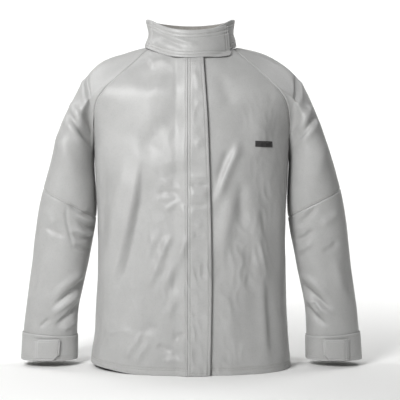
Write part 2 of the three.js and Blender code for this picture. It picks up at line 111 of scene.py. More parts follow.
# The jacket's cut, in millimetres; its lines are those of the frame's panels
body = {
    "underarm": 520, "neckFront": 722, "neckBack": 765, "chestHeight": 612, "neckSetBack": 20,
    "hemFront": 150, "lean": 0.0467, "neckHalf": 108, "neckBackDepth": 76, "bladeDepth": 138,
    "frontSeamAngle": 70, "backSeamAngle": 125, "power": 2.5,
    "leather": 1.5, "rightEdge": 7.4, "leftEdge": -5, "neckTurn": 110,
}
nodeBox = lambda node: [np.array(corner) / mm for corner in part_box(node)]
bodyY = (nodeBox("left_front_panel")[1][1] + nodeBox("back_panel")[0][1]) / 2
halfWidth = curveThrough([(0, 236), (240, 225), (520, 233)])
backDepth = curveThrough([(0, 140), (240, 136), (520, 138), (667, 122), (765, 76)])
flapEdge = curveThrough([(0, 42), (240, 45), (560, 37), (722, 26)])


def frontDepth(z):
    climb = np.maximum(0, z - body["chestHeight"]) / (body["neckFront"] - body["chestHeight"])
    return body["hemFront"] - body["lean"] * z - body["neckSetBack"] * climb ** 2


def neckPoint(angle):  # round the neckline, in degrees from the centre front towards +X
    turn = np.radians(angle)
    depth = np.where(np.abs(angle) < 90, frontDepth(body["neckFront"]), body["neckBackDepth"])
    height = mix(body["neckFront"], body["neckBack"], smooth(0, body["neckTurn"], np.abs(angle)))
    return np.stack([body["neckHalf"] * np.sin(turn), bodyY - depth * np.cos(turn), height], -1)


seamShapes = {  # the raglan seams, as shares inwards, of the chest's depth, and upwards
    "front": [(0.015, 0.33, 0.17), (0.07, 0.63, 0.4), (0.23, 0.73, 0.55), (0.5, 0.66, 0.71),
              (0.755, 0.49, 0.856)],
    "back": [(0.01, 0.32, 0.12), (0.05, 0.61, 0.29), (0.23, 0.77, 0.49), (0.5, 0.74, 0.69),
             (0.78, 0.51, 0.88)],
}


def raglanSeam(which, shares):
    start = np.array([halfWidth(body["underarm"]), bodyY, body["underarm"]])
    end = neckPoint(body[which + "SeamAngle"])
    reach = -frontDepth(body["underarm"]) if which == "front" else body["bladeDepth"]
    between = [(mix(start[0], end[0], a), bodyY + reach * b, mix(start[2], end[2], c))
               for a, b, c in seamShapes[which]]
    dense = throughPoints([start, *between, end], 400)
    return readAt(shares, np.linspace(0, 1, len(dense)), dense)


# The body's surface: rows of points from the centre line to the side or raglan seam
edgeStops = [0, 0.7, 1.6, 2.8, 4.2, 5.2, 6.2, 7.6, 9.4]
hemLevels = [0, 0.7, 1.6, 3, 5, 8, 10.6, 12, 13.4, 15.2, 16.6, 18, 21]
lowLevels = hemLevels + list(np.linspace(24, body["underarm"] - 3, 160))
highShares = np.linspace(0, 1, 76)
levels = [(z, -1) for z in lowLevels] + [(body["underarm"], s) for s in highShares]


def bodyRow(z, share, which):
    depthAt = frontDepth if which == "front" else backDepth
    if share < 0:
        return {"width": halfWidth(z), "depth": depthAt(z), "power": body["power"],
                "low": z, "high": z, "end": math.pi / 2}
    seam = raglanSeam(which, share)
    neck = body["neckFront"] if which == "front" else body["neckBack"]
    low = mix(body["underarm"], neck, share)
    depth = depthAt(low)
    power = mix(body["power"], 2, share)
    seamY = abs(seam[1] - bodyY)
    width = seam[0] / (1 - (seamY / depth) ** power) ** (1 / power)
    return {"width": width, "depth": depth, "power": power, "low": low, "high": seam[2],
            "end": math.atan2(seam[0], seamY)}


def rowPoints(row, angles, which):
    across = np.abs(np.sin(angles)) / row["width"]
    along = np.abs(np.cos(angles)) / row["depth"]
    radius = (across ** row["power"] + along ** row["power"]) ** (-1 / row["power"])
    fullTurn = math.radians(body["neckTurn"])
    climb = smooth(0, fullTurn, np.abs(angles)) / smooth(0, fullTurn, row["end"])
    y = radius * np.cos(angles) * (-1 if which == "front" else 1)
    return np.stack([radius * np.sin(angles), bodyY + y, mix(row["low"], row["high"], climb)], -1)


def spaced(total, stopsIn, count, stopsOut):
    middle = np.linspace(stopsIn[-1], total - stopsOut[-1], count + 2)[1:-1]
    return np.concatenate([stopsIn, middle, total - np.array(stopsOut)[::-1]])


def layOut(points, stopsIn, count, stopsOut):  # points spaced by real distance from each edge
    lengths = lengthsAlong(points)
    at = spaced(lengths[-1], stopsIn, count, stopsOut)
    return readAt(at, lengths, points), at, lengths[-1]


def normals(points, closed, inside):
    around = np.roll(points, -1, 1) - np.roll(points, 1, 1)
    acrossRow = around if closed else np.gradient(points, axis=1)
    n = unit(np.cross(acrossRow, np.gradient(points, axis=0)))
    return n * (1 if np.sum(n * (points - inside)) > 0 else -1)


def bodyInside(points):
    inside = np.zeros_like(points)
    inside[..., 1] = bodyY
    inside[..., 2] = np.minimum(points[..., 2], body["underarm"])
    return inside


def makeGrid(points, closed=False, inside=None, **facts):
    centre = bodyInside(points) if inside is None else inside
    return {"p": points, "n": normals(points, closed, centre), "closed": closed, **facts}


def mirrorX(points, side):
    return points * np.array([side, 1, 1])


def angleAt(row, x):  # where a row of the front passes a distance x from the centre line
    y = row["depth"] * (1 - (abs(x) / row["width"]) ** row["power"]) ** (1 / row["power"])
    return math.atan2(x, y)


def frontGrid(side, edgeX, count=74):
    rows, fromEdge, fromSeam = [], [], []
    for z, share in levels:
        row = bodyRow(z, share, "front")
        angles = np.linspace(angleAt(row, edgeX), row["end"], 220)
        points, at, total = layOut(rowPoints(row, angles, "front"), edgeStops, count, edgeStops)
        rows.append(mirrorX(points, side))
        fromEdge.append(at)
        fromSeam.append(total - at)
    return makeGrid(np.array(rows), fromEdge=np.array(fromEdge), fromSeam=np.array(fromSeam))


def backGridRows(count=150):
    rows, fromSeam = [], []
    for z, share in levels:
        row = bodyRow(z, share, "back")
        angles = np.linspace(-row["end"], row["end"], 400)
        points, at, total = layOut(rowPoints(row, angles, "back"), edgeStops, count, edgeStops)
        rows.append(points)
        fromSeam.append(np.minimum(at, total - at))
    return makeGrid(np.array(rows), fromSeam=np.array(fromSeam))


# Folds: soft strokes drawn on the front or back view, in millimetres (x, z)
def strokeField(points, facing, strokes):
    flat = points[..., [0, 2]].reshape(-1, 2)
    face = smooth(0.02, 0.4, facing).reshape(-1)
    result = np.zeros(len(flat))
    for path, rise, widths in strokes:
        line = throughPoints(path, 26)
        reach = 3.2 * max(widths)
        near = np.all((flat > line.min(0) - reach) & (flat < line.max(0) + reach), axis=1)
        near &= face > 0
        if not near.any():
            continue
        here = flat[near]
        best, share, signed = np.full(len(here), 1e9), np.zeros(len(here)), np.zeros(len(here))
        for k in range(len(line) - 1):
            a, d = line[k], line[k + 1] - line[k]
            s = np.clip(((here - a) @ d) / (d @ d), 0, 1)
            gap = here - (a + s[:, None] * d)
            dist = np.hypot(gap[:, 0], gap[:, 1])
            closer = dist < best
            best[closer] = dist[closer]
            share[closer] = ((k + s) / (len(line) - 1))[closer]
            signed[closer] = (d[0] * gap[:, 1] - d[1] * gap[:, 0])[closer]
        width = np.where(signed > 0, widths[1], widths[0])
        taper = smooth(0, 0.3, share) * smooth(0, 0.35, 1 - share)
        result[near] += rise * taper * np.exp(-(best / width) ** 2) * face[near]
    return result.reshape(points.shape[:-1])


def waves(points, seed, lengths, height):  # broad unevenness of hanging leather
    rng = np.random.default_rng(seed)
    total = np.zeros(points.shape[:-1])
    for _ in range(14):
        wave = 2 * math.pi / rng.uniform(*lengths) * unit(rng.normal(size=3) * [1, 1, 0.45])
        total += np.sin(points @ wave + rng.uniform(0, 2 * math.pi))
    return total * height / math.sqrt(14)


def displace(grid, heights):
    moved = grid["p"] + grid["n"] * heights[..., None]
    return {**grid, "p": moved, "n": normals(moved, grid["closed"], moved - grid["n"])}


def seamDip(distance, depth=2.0, stitchAt=5.2):  # the turned edge of a seam and its topstitching
    return dip(distance, 0, depth, 2.1) + dip(distance, stitchAt, 0.7, 0.9)


frontFolds = [
    # wearer's right side: the long diagonal drape and its hollow
    ([(-120, 510), (-129, 420), (-138, 373), (-152, 316), (-166, 262), (-184, 205), (-197, 155)],
     5.5, (34, 10)),
    ([(-104, 505), (-113, 410), (-124, 350), (-140, 280), (-155, 222), (-174, 160)], -5.5, (8, 44)),
    ([(-163, 505), (-160, 438), (-170, 382), (-181, 307), (-190, 240)], 4, (15, 16)),
    ([(-205, 500), (-206, 380), (-212, 260)], -2.5, (12, 14)),
    # hollow under the collar and the change of plane below the chest
    ([(-150, 666), (-84, 677), (24, 686)], -2.6, (26, 22)),
    ([(-100, 704), (-80, 712), (-40, 718)], 3, (10, 10)),
    ([(-100, 655), (-60, 640), (-12, 640)], 2.5, (24, 40)),
    ([(-120, 490), (-70, 545), (-10, 600)], -4.5, (40, 26)),
    ([(-70, 600), (-40, 500), (-30, 450)], 4, (34, 30)),
    # pull lines round the third snap
    ([(-74, 440), (-46, 426), (-12, 407)], 1.3, (6, 8)),
    ([(-62, 366), (-38, 384), (-12, 401)], 1.4, (7, 6)),
    ([(-80, 414), (-46, 410), (-14, 404)], -1.2, (6, 6)),
    ([(-90, 392), (-60, 397), (-28, 400)], 0.9, (6, 7)),
    ([(-30, 404), (-14, 384), (6, 362)], -2.2, (8, 9)),
    # drapes that run down and away from the closing edge
    ([(4, 322), (-17, 292), (-36, 246), (-56, 205), (-70, 170)], 4.2, (13, 11)),
    ([(-36, 318), (-60, 287), (-82, 229), (-100, 190)], 3, (10, 9)),
    ([(-76, 330), (-96, 280), (-112, 230)], 1.8, (9, 10)),
    ([(-18, 205), (-40, 160), (-64, 120)], 2.2, (13, 12)),
    # soft buckles above the hem
    ([(-204, 82), (-160, 96), (-120, 84)], 2, (7, 9)),
    ([(-152, 30), (-132, 62), (-112, 96)], 3, (10, 9)),
    ([(-128, 20), (-112, 50), (-92, 82)], 2.4, (8, 8)),
    ([(-76, 70), (-60, 60), (-40, 54)], -2.6, (6, 7)),
    ([(-38, 80), (-24, 90), (-8, 98)], -2.6, (6, 6)),
    ([(-84, 118), (-96, 104), (-118, 100)], -2.4, (10, 12)),
    ([(-64, 30), (-42, 36), (-20, 30)], 1.8, (7, 7)),
    # wearer's left side
    ([(108, 535), (100, 500), (80, 455), (62, 405), (50, 372)], 4.2, (8, 12)),
    ([(88, 520), (70, 470), (58, 430)], -2, (7, 8)),
    ([(96, 420), (86, 370), (76, 315), (64, 250)], 5, (20, 17)),
    ([(118, 440), (114, 385), (116, 320)], -3.2, (12, 13)),
    ([(140, 380), (150, 330), (161, 262), (166, 200)], 3.6, (15, 13)),
    ([(128, 300), (132, 240), (130, 180)], -2, (12, 12)),
    ([(160, 230), (165, 170), (170, 98), (176, 26)], 2.4, (14, 9)),
    ([(172, 225), (177, 150), (181, 80), (189, 14)], -3, (9, 20)),
    ([(204, 420), (208, 300), (214, 180)], 2.5, (14, 12)),
    ([(70, 200), (84, 130), (90, 60)], 2.6, (18, 18)),
    ([(60, 690), (80, 640), (96, 600)], -2, (16, 18)),
    ([(150, 600), (160, 540), (158, 480)], 2.4, (22, 20)),
]
backFolds = [
    ([(-150, 560), (-142, 470), (-128, 380), (-120, 290)], 5, (20, 16)),
    ([(148, 570), (138, 480), (132, 390), (118, 300)], 5, (16, 20)),
    ([(-80, 640), (0, 610), (84, 642)], -3, (22, 30)),
    ([(-60, 330), (-40, 230), (-48, 110), (-40, 10)], 5, (22, 20)),
    ([(60, 350), (52, 240), (70, 120), (64, 10)], 5, (20, 22)),
    ([(0, 420), (6, 300), (0, 160)], -3, (24, 24)),
    ([(-180, 300), (-176, 180), (-186, 20)], 4.5, (18, 16)),
    ([(178, 310), (182, 180), (180, 20)], 4.5, (16, 18)),
    ([(-110, 240), (-112, 120), (-116, 10)], -4, (18, 18)),
    ([(120, 240), (124, 130), (126, 10)], -4, (18, 18)),
    ([(-120, 500), (-60, 470), (10, 474)], 2, (12, 16)),
    ([(130, 470), (70, 440), (0, 436)], 2, (12, 16)),
    ([(-30, 700), (0, 694), (30, 700)], -2, (12, 16)),
]


foldDepth = 1.6  # deepens every stroke
crinkle = {"lengths": (15, 34), "height": 0.95, "patches": (90, 200)}


def crinkles(p, n):  # small creases that come in patches, most of them low on the front
    patches = smooth(-0.5, 0.9, waves(p, 21, crinkle["patches"], 1.0))
    more = mix(0.35, 1.0, smooth(480, 300, p[..., 2])) * mix(0.6, 1, smooth(0, 0.5, -n[..., 1]))
    return np.abs(waves(p, 22, crinkle["lengths"], 1.6)) * -crinkle["height"] * patches * more


def drapes(grid, extra=0):  # folds and waves, which calm down towards the neck
    p, n = grid["p"], grid["n"]
    height = foldDepth * (strokeField(p, -n[..., 1], frontFolds)
                          + strokeField(p, n[..., 1], backFolds))
    height += waves(p, 3, (110, 260), 1.3) + waves(p, 5, (38, 80), 0.45)
    belowNeck = smooth(-20, 25, body["neckFront"] + 20 * np.abs(p[..., 0]) / 60 - p[..., 2])
    return (height + extra) * (0.35 + 0.65 * belowNeck)


def bodyFolds(grid):  # the hem flares a little, and more at the wearer's right side
    p, n = grid["p"], grid["n"]
    flare = (1 - smooth(0, 60, p[..., 2])) * 1.5
    flare += 4 * smooth(90, 20, p[..., 2]) * smooth(0.5, 0.95, -n[..., 0])
    return drapes(grid, crinkles(p, n)) + flare


def hemStitches(z):  # two rows of stitching hold the turned-up hem
    return dip(z, 12, 0.8) + dip(z, 16.6, 0.8) + dip(z, 0, 0.9)


# Meshes
pieces = {}


def addMesh(name, verts, faces, slots, materials):
    mesh = bpy.data.meshes.new(name)
    mesh.from_pydata((np.asarray(verts) * mm).tolist(), [], faces)
    mesh.polygons.foreach_set("use_smooth", np.ones(len(faces), bool))
    mesh.polygons.foreach_set("material_index", np.asarray(slots, np.int32))
    for material in materials:
        mesh.materials.append(material)
    mesh.update()
    piece = bpy.data.objects.new(name, mesh)
    bpy.context.scene.collection.objects.link(piece)
    pieces[name] = piece
    return piece


thread = {"length": 3.0, "pitch": 4.0, "radius": 0.42, "sides": 5, "lift": 0.1}


def stitchRow(points, lifts):  # separate stitches along a line; lifts are the surface's normals
    lengths = lengthsAlong(points)
    count = int(lengths[-1] // thread["pitch"])
    if count < 2:
        return np.zeros((0, 3)), []
    starts = np.arange(count) * thread["pitch"] + 0.5
    along = np.array([0, 0.22, 0.5, 0.78, 1]) * thread["length"]
    at = (starts[:, None] + along).ravel()
    up = unit(readAt(at, lengths, lifts))
    ahead = readAt(at + 0.4, lengths, points) - readAt(at - 0.4, lengths, points)
    beside = unit(np.cross(ahead, up))
    hump = np.tile([-0.55, 0.0, 0.22, 0.0, -0.55], count)[:, None]
    radius = np.tile([0.3, 0.9, 1.0, 0.9, 0.3], count)[:, None] * thread["radius"]
    centre = readAt(at, lengths, points) + up * hump
    turns = np.linspace(0, 2 * math.pi, thread["sides"], endpoint=False)
    rings = centre[:, None] + radius[:, None] * (np.cos(turns)[:, None] * beside[:, None]
                                                + np.sin(turns)[:, None] * up[:, None])
    sides, faces = thread["sides"], []
    for stitch in range(count):
        base = stitch * len(along) * sides
        for ring in range(len(along) - 1):
            for k in range(sides):
                a = base + ring * sides + k
                b = base + ring * sides + (k + 1) % sides
                faces.append((a, b, b + sides, a + sides))
        faces.append(tuple(base + k for k in reversed(range(sides))))
        faces.append(tuple(base + (len(along) - 1) * sides + k for k in range(sides)))
    return rings.reshape(-1, 3), faces


def insideOut(corners):  # a closed mesh whose faces point inwards has a negative volume
    return np.sum(corners[:, 0] * np.cross(corners[:, 1], corners[:, 2])) < 0


# One closed ply: outer face, rounded rim and inner face, with its rows of stitches
def shell(name, grid, top, thick, materials, stitches=(), lip=0.42):
    p, n, closed = grid["p"], grid["n"], grid["closed"]
    rows, cols = p.shape[:2]
    top = np.broadcast_to(top, (rows, cols))[..., None]
    thick = np.broadcast_to(thick, (rows, cols))[..., None]
    outer = p + n * top
    inner = outer - n * thick
    verts = [outer.reshape(-1, 3), inner.reshape(-1, 3)]
    index = np.arange(rows * cols).reshape(rows, cols)
    loop = np.concatenate([index, index[:, :1]], 1) if closed else index
    a, b, c, d = loop[:-1, :-1], loop[:-1, 1:], loop[1:, 1:], loop[1:, :-1]
    faces = np.stack([a, b, c, d], -1).reshape(-1, 4)
    inside = np.stack([a, d, c, b], -1).reshape(-1, 4) + rows * cols
    allFaces, slots = [faces, inside], [np.zeros(len(faces)), np.ones(len(inside))]
    offset = 2 * rows * cols
    if closed:
        rims = [(loop[0], outer[0] - outer[1], False), (loop[-1], outer[-1] - outer[-2], True)]
    else:
        ring = np.concatenate([index[0, :-1], index[:-1, -1], index[-1, :0:-1], index[:0:-1, 0]])
        away = np.zeros((rows, cols, 3))
        away[0] += unit(outer[0] - outer[1])
        away[-1] += unit(outer[-1] - outer[-2])
        away[:, 0] += unit(outer[:, 0] - outer[:, 1])
        away[:, -1] += unit(outer[:, -1] - outer[:, -2])
        rims = [(np.append(ring, ring[0]), away.reshape(-1, 3)[ring], False)]
    for ringIndex, away, reverse in rims:
        own = ringIndex[:-1]
        flatOuter, flatInner = verts[0][own], verts[1][own]
        flatThick = np.linalg.norm(flatOuter - flatInner, axis=1, keepdims=True)
        middle = (flatOuter + flatInner) / 2 + unit(away) * flatThick * lip
        verts.append(middle)
        mid = offset + np.arange(len(own) + 1) % len(own)
        offset += len(own)
        low = np.stack([ringIndex[:-1], mid[:-1], mid[1:], ringIndex[1:]], -1)
        innerIndex = ringIndex + rows * cols
        high = np.stack([mid[:-1], innerIndex[:-1], innerIndex[1:], mid[1:]], -1)
        both = np.concatenate([low, high])
        allFaces.append(both[:, ::-1] if reverse else both)
        slots.append(np.zeros(len(both)))
    verts, quads = np.concatenate(verts), np.concatenate(allFaces)
    slots = np.concatenate(slots).tolist()
    if insideOut(verts[quads[:, :3]]):
        quads = quads[:, ::-1]
    faceList = quads.tolist()
    for line, lifts in stitches:
        threadVerts, threadFaces = stitchRow(line, lifts)
        base = len(verts)
        verts = np.concatenate([verts, threadVerts])
        faceList += [tuple(base + k for k in face) for face in threadFaces]
        slots += [2] * len(threadFaces)
    return addMesh(name, verts, faceList, slots, materials)


# The line of a grid's row or column, for stitching
def along(grid, rows=slice(None), cols=slice(None), top=thread["lift"]):
    lifts = grid["n"][rows, cols]
    return grid["p"][rows, cols] + lifts * top, lifts


def seams(grid, rows=(), cols=(), top=thread["lift"]):
    return [along(grid, rows=row, top=top) for row in rows] \
        + [along(grid, cols=col, top=top) for col in cols]


def part(grid, rows=slice(None), cols=slice(None)):
    return {"p": grid["p"][rows, cols], "n": grid["n"][rows, cols], "closed": False}


def linear(hexColour):
    channels = [int(hexColour[k:k + 2], 16) / 255 for k in (1, 3, 5)]
    return tuple(c / 12.92 if c <= 0.04045 else ((c + 0.055) / 1.055) ** 2.4
                 for c in channels) + (1.0,)


def addNode(tree, kind, links=None, **settings):
    node = tree.nodes.new(kind)  # links gives each input another node's output or a plain value
    for key, value in settings.items():
        setattr(node, key, value)
    for key, value in (links or {}).items():
        if isinstance(value, bpy.types.NodeSocket):
            tree.links.new(value, node.inputs[key])
        else:
            node.inputs[key].default_value = value
    return node


def startMaterial(name):
    material = bpy.data.materials.new(name)
    material.use_nodes = True
    tree = material.node_tree
    tree.nodes.clear()
    shader = addNode(tree, "ShaderNodeBsdfPrincipled")
    out = addNode(tree, "ShaderNodeOutputMaterial")
    tree.links.new(shader.outputs["BSDF"], out.inputs["Surface"])
    place = addNode(tree, "ShaderNodeTexCoord").outputs["Object"]
    return material, tree, shader, place


def ramp(tree, factor, stops):
    node = addNode(tree, "ShaderNodeValToRGB", {"Fac": factor})
    points = node.color_ramp.elements
    while len(points) < len(stops):
        points.new(0.5)
    for point, (position, colour) in zip(points, stops):
        point.position = position
        point.color = linear(colour) if isinstance(colour, str) else (colour,) * 3 + (1.0,)
    return node.outputs["Color"]


perMetre = lambda millimetres: 1000 / millimetres  # pattern scale for a real size

# Chrome-tanned split cowhide with a pearl grey pigment coat, plated to a low gloss: a soft broad
# highlight, a fine pebble grain with hair pores, and slow changes of tone from hide to hide
pearlHide = {"light": "#adadac", "dark": "#a5a5a4", "edge": "#bababa", "mottle": 95, "cloud": 22,
             "pebble": 2.1, "pore": 1.0, "crease": 9, "roughLow": 0.4, "roughHigh": 0.48,
             "grainDepth": 0.00022, "creaseDepth": 0.0004}


def pearlLeather(name, facts):
    material, tree, shader, place = startMaterial(name)
    broad = addNode(tree, "ShaderNodeTexNoise", {
        "Vector": place, "Scale": perMetre(facts["mottle"]), "Detail": 3.0, "Roughness": 0.55})
    cloud = addNode(tree, "ShaderNodeTexNoise", {
        "Vector": place, "Scale": perMetre(facts["cloud"]), "Detail": 4.0, "Roughness": 0.6})
    both = addNode(tree, "ShaderNodeMix", {
        "Factor": 0.35, "A": broad.outputs["Fac"], "B": cloud.outputs["Fac"]}, data_type="FLOAT")
    tone = ramp(tree, both.outputs["Result"], [(0.36, facts["dark"]), (0.64, facts["light"])])
    pebble = addNode(tree, "ShaderNodeTexVoronoi", {
        "Vector": place, "Scale": perMetre(facts["pebble"]), "Smoothness": 0.7},
        feature="SMOOTH_F1")
    # Painted shade: the pebble grain's valleys are drawn up to 9% darker, for the shade that falls
    # in them
    valleyShade = ramp(tree, pebble.outputs["Distance"], [(0.42, 1.0), (0.9, 0.91)])
    toned = addNode(tree, "ShaderNodeMix", {
        "Factor": 1.0, "A": tone, "B": valleyShade}, data_type="RGBA", blend_type="MULTIPLY")
    edges = addNode(tree, "ShaderNodeNewGeometry").outputs["Pointiness"]
    worn = ramp(tree, edges, [(0.515, 0.0), (0.56, 0.55)])
    final = addNode(tree, "ShaderNodeMix", {
        "Factor": worn, "A": toned.outputs["Result"], "B": linear(facts["edge"])},
        data_type="RGBA")
    tree.links.new(final.outputs["Result"], shader.inputs["Base Color"])
    gloss = addNode(tree, "ShaderNodeMapRange", {
        "Value": cloud.outputs["Fac"], "From Min": 0.3, "From Max": 0.7, "To Min":
        facts["roughLow"], "To Max": facts["roughHigh"]})
    tree.links.new(gloss.outputs["Result"], shader.inputs["Roughness"])
    crease = addNode(tree, "ShaderNodeTexNoise", {
        "Vector": place, "Scale": perMetre(facts["crease"]), "Detail": 5.0, "Roughness": 0.62,
        "Distortion": 0.6})
    pore = addNode(tree, "ShaderNodeTexNoise", {
        "Vector": place, "Scale": perMetre(facts["pore"]), "Detail": 2.0})
    soft = addNode(tree, "ShaderNodeBump", {
        "Height": crease.outputs["Fac"], "Strength": 0.45, "Distance": facts["creaseDepth"]})
    grain = addNode(tree, "ShaderNodeBump", {
        "Height": pebble.outputs["Distance"], "Strength": 0.6, "Distance": facts["grainDepth"],
        "Normal": soft.outputs["Normal"]}, invert=True)
    pores = addNode(tree, "ShaderNodeBump", {
        "Height": pore.outputs["Fac"], "Strength": 0.35, "Distance": facts["grainDepth"] / 2,
        "Normal": grain.outputs["Normal"]})
    tree.links.new(pores.outputs["Normal"], shader.inputs["Normal"])
    shader.inputs["IOR"].default_value = 1.48
    shader.inputs["Specular IOR Level"].default_value = 0.46
    return material


# The flesh side and the lining strips: brushed split with a short uneven nap, no gloss
suedeHide = {"light": "#a3a09b", "dark": "#85827e", "nap": 1.6, "patch": 14, "napDepth": 0.0005}


def suedeLeather(name, facts):
    material, tree, shader, place = startMaterial(name)
    patch = addNode(tree, "ShaderNodeTexNoise", {
        "Vector": place, "Scale": perMetre(facts["patch"]), "Detail": 6.0, "Roughness": 0.65})
    nap = addNode(tree, "ShaderNodeTexNoise", {
        "Vector": place, "Scale": perMetre(facts["nap"]), "Detail": 3.0, "Roughness": 0.7})
    both = addNode(tree, "ShaderNodeMix", {
        "Factor": 0.4, "A": patch.outputs["Fac"], "B": nap.outputs["Fac"]}, data_type="FLOAT")
    tone = ramp(tree, both.outputs["Result"], [(0.34, facts["dark"]), (0.66, facts["light"])])
    tree.links.new(tone, shader.inputs["Base Color"])
    bump = addNode(tree, "ShaderNodeBump", {
        "Height": nap.outputs["Fac"], "Strength": 0.7, "Distance": facts["napDepth"]})
    tree.links.new(bump.outputs["Normal"], shader.inputs["Normal"])
    shader.inputs["Roughness"].default_value = 0.93
    shader.inputs["Sheen Weight"].default_value = 0.18
    shader.inputs["Sheen Roughness"].default_value = 0.5
    return material


# Spun aramid sewing thread: matt, a little lighter than the leather, with its twist
def sewingThread(name, colour, shadow):
    material, tree, shader, place = startMaterial(name)
    twist = addNode(tree, "ShaderNodeTexNoise", {
        "Vector": place, "Scale": perMetre(0.5), "Detail": 2.0})
    tree.links.new(ramp(tree, twist.outputs["Fac"], [(0.35, shadow), (0.6, colour)]),
                   shader.inputs["Base Color"])
    bump = addNode(tree, "ShaderNodeBump", {
        "Height": twist.outputs["Fac"], "Strength": 0.5, "Distance": 0.0001})
    tree.links.new(bump.outputs["Normal"], shader.inputs["Normal"])
    shader.inputs["Roughness"].default_value = 0.85
    return material


# Nickel-plated brass: stamped, bright, with fine handling scuffs
def platedNickel(name):
    material, tree, shader, place = startMaterial(name)
    scuff = addNode(tree, "ShaderNodeTexNoise", {
        "Vector": place, "Scale": perMetre(1.2), "Detail": 5.0, "Roughness": 0.7})
    tree.links.new(ramp(tree, scuff.outputs["Fac"], [(0.35, "#bdbab2"), (0.65, "#d5d3cd")]),
                   shader.inputs["Base Color"])
    gloss = addNode(tree, "ShaderNodeMapRange", {"Value": scuff.outputs["Fac"], "From Min": 0.35,
                                                 "From Max": 0.65, "To Min": 0.2, "To Max": 0.34})
    tree.links.new(gloss.outputs["Result"], shader.inputs["Roughness"])
    bump = addNode(tree, "ShaderNodeBump", {
        "Height": scuff.outputs["Fac"], "Strength": 0.2, "Distance": 0.0001})
    tree.links.new(bump.outputs["Normal"], shader.inputs["Normal"])
    shader.inputs["Metallic"].default_value = 1.0
    return material


# Hook and loop tape: woven nylon with a dense pile 0.9 mm apart, drawn as rows of small knots
def pileTape(name):
    material, tree, shader, place = startMaterial(name)
    knots = addNode(tree, "ShaderNodeTexVoronoi", {
        "Vector": place, "Scale": perMetre(0.9), "Randomness": 0.45})
    # Painted shade: the gaps between the knots are drawn much darker than their tops, for the shade
    # that falls between the pile
    tree.links.new(ramp(tree, knots.outputs["Distance"], [(0.15, "#8b8b89"), (0.6, "#4c4c4b")]),
                   shader.inputs["Base Color"])
    bump = addNode(tree, "ShaderNodeBump", {
        "Height": knots.outputs["Distance"], "Strength": 0.9, "Distance": 0.0006}, invert=True)
    tree.links.new(bump.outputs["Normal"], shader.inputs["Normal"])
    shader.inputs["Roughness"].default_value = 0.9
    return material


pearl = pearlLeather("pearl_split_cowhide", pearlHide)
patchHide = pearlLeather("charcoal_split_cowhide", {
    **pearlHide, "light": "#3b3a3a", "dark": "#2e2d2d", "edge": "#4b4a49", "pebble": 1.4})
suede = suedeLeather("brushed_flesh_side", suedeHide)
thread["pearl"] = sewingThread("pearl_aramid_thread", "#acaba8", "#83827d")
thread["dark"] = sewingThread("charcoal_aramid_thread", "#5a5958", "#3c3b3b")
nickel = platedNickel("nickel_plated_brass")
tape = pileTape("hook_and_loop_pile")
hide = [pearl, suede, thread["pearl"]]
lining = [suede, suede, thread["pearl"]]

# Body panels
ply = {"panel": body["leather"], "hem": 3.4, "hemDepth": 21.5}
leftBase = frontGrid(1, body["leftEdge"])
rightBase = frontGrid(-1, body["rightEdge"])
backBase = backGridRows()
firstHigh = len(lowLevels)
print("body surfaces laid out")


def panelHeights(grid):
    onHem = np.where(grid["row"] < firstHigh, grid["p"][..., 2], 99)
    return bodyFolds(grid) + hemStitches(onHem) + seamDip(grid["fromSeam"])


for base in (leftBase, rightBase, backBase):
    base["row"] = np.broadcast_to(np.arange(len(levels))[:, None], base["p"].shape[:2])
    base["share"] = np.broadcast_to(np.array([s for _, s in levels])[:, None], base["p"].shape[:2])


def hemmed(grid):
    z = grid["p"][..., 2]
    low = (z < ply["hemDepth"]) & (grid["row"] < firstHigh)
    return np.where(low, ply["hem"], ply["panel"])


def flapRiseAt(share):  # how far the flap's outer face stands off the left panel
    return 9.3 - 3.3 * smooth(0.92, 0.99, share)


rightHeights = panelHeights(rightBase)
ramping = smooth(38, 9.5, np.abs(rightBase["p"][..., 0]))
rightHeights += ramping * flapRiseAt(rightBase["share"])
rightHeights += dip(rightBase["fromEdge"], 5.2, 0.7) + dip(rightBase["fromEdge"], 0, 0.6, 1.4)
leftFront = displace(leftBase, panelHeights(leftBase))
rightFront = displace(rightBase, rightHeights)
back = displace(backBase, panelHeights(backBase))
hemFloor = 0.3  # the lowest that the hem's leather may hang
hemRise = {"side": 10, "from": 110, "to": 235, "fades": 130}


def settle(grid):  # the hem rides up at the wearer's right side, and nothing hangs below it
    lift = hemRise["side"] * smooth(hemRise["from"], hemRise["to"], -grid["p"][..., 0])
    grid["p"][..., 2] += lift * smooth(hemRise["fades"], 0, grid["p"][..., 2])
    grid["p"][..., 2] = np.maximum(grid["p"][..., 2], hemFloor)
    return grid


for grid in (leftFront, rightFront, back):
    settle(grid)
stitchCols = len(edgeStops) - 4  # the column that lies on the seam's topstitching
hemRows = [lowLevels.index(12), lowLevels.index(16.6)]


seamCols = (stitchCols, -1 - stitchCols)
for name, grid, base, cols in (("right_front", rightFront, rightBase, seamCols),
                               ("left_front", leftFront, leftBase, seamCols[1:]),
                               ("back_body", back, backBase, seamCols)):
    shell(name, grid, 0, hemmed(base), hide, seams(grid, hemRows, cols))

facing = {"leftWidth": 66, "rightWidth": 40, "gap": 0.3, "neckRows": 20, "neckInset": 24}
waistRow = 60  # a level row, for finding the column at a distance from the centre line
under = -(ply["panel"] + facing["gap"])
for name, grid, base, edge in (("left_facing", leftFront, leftBase, facing["leftWidth"]),
                               ("right_facing", rightFront, rightBase, -facing["rightWidth"])):
    strip = slice(0, nearest(base["p"][waistRow, :, 0], edge))
    shell(name, part(grid, slice(len(hemLevels), None), strip), under, ply["panel"], lining)
neckStrip = part(back, slice(-facing["neckRows"], None),
                 slice(facing["neckInset"], -facing["neckInset"]))
shell("neck_facing", neckStrip, under, ply["panel"], lining)
print("body panels sewn")

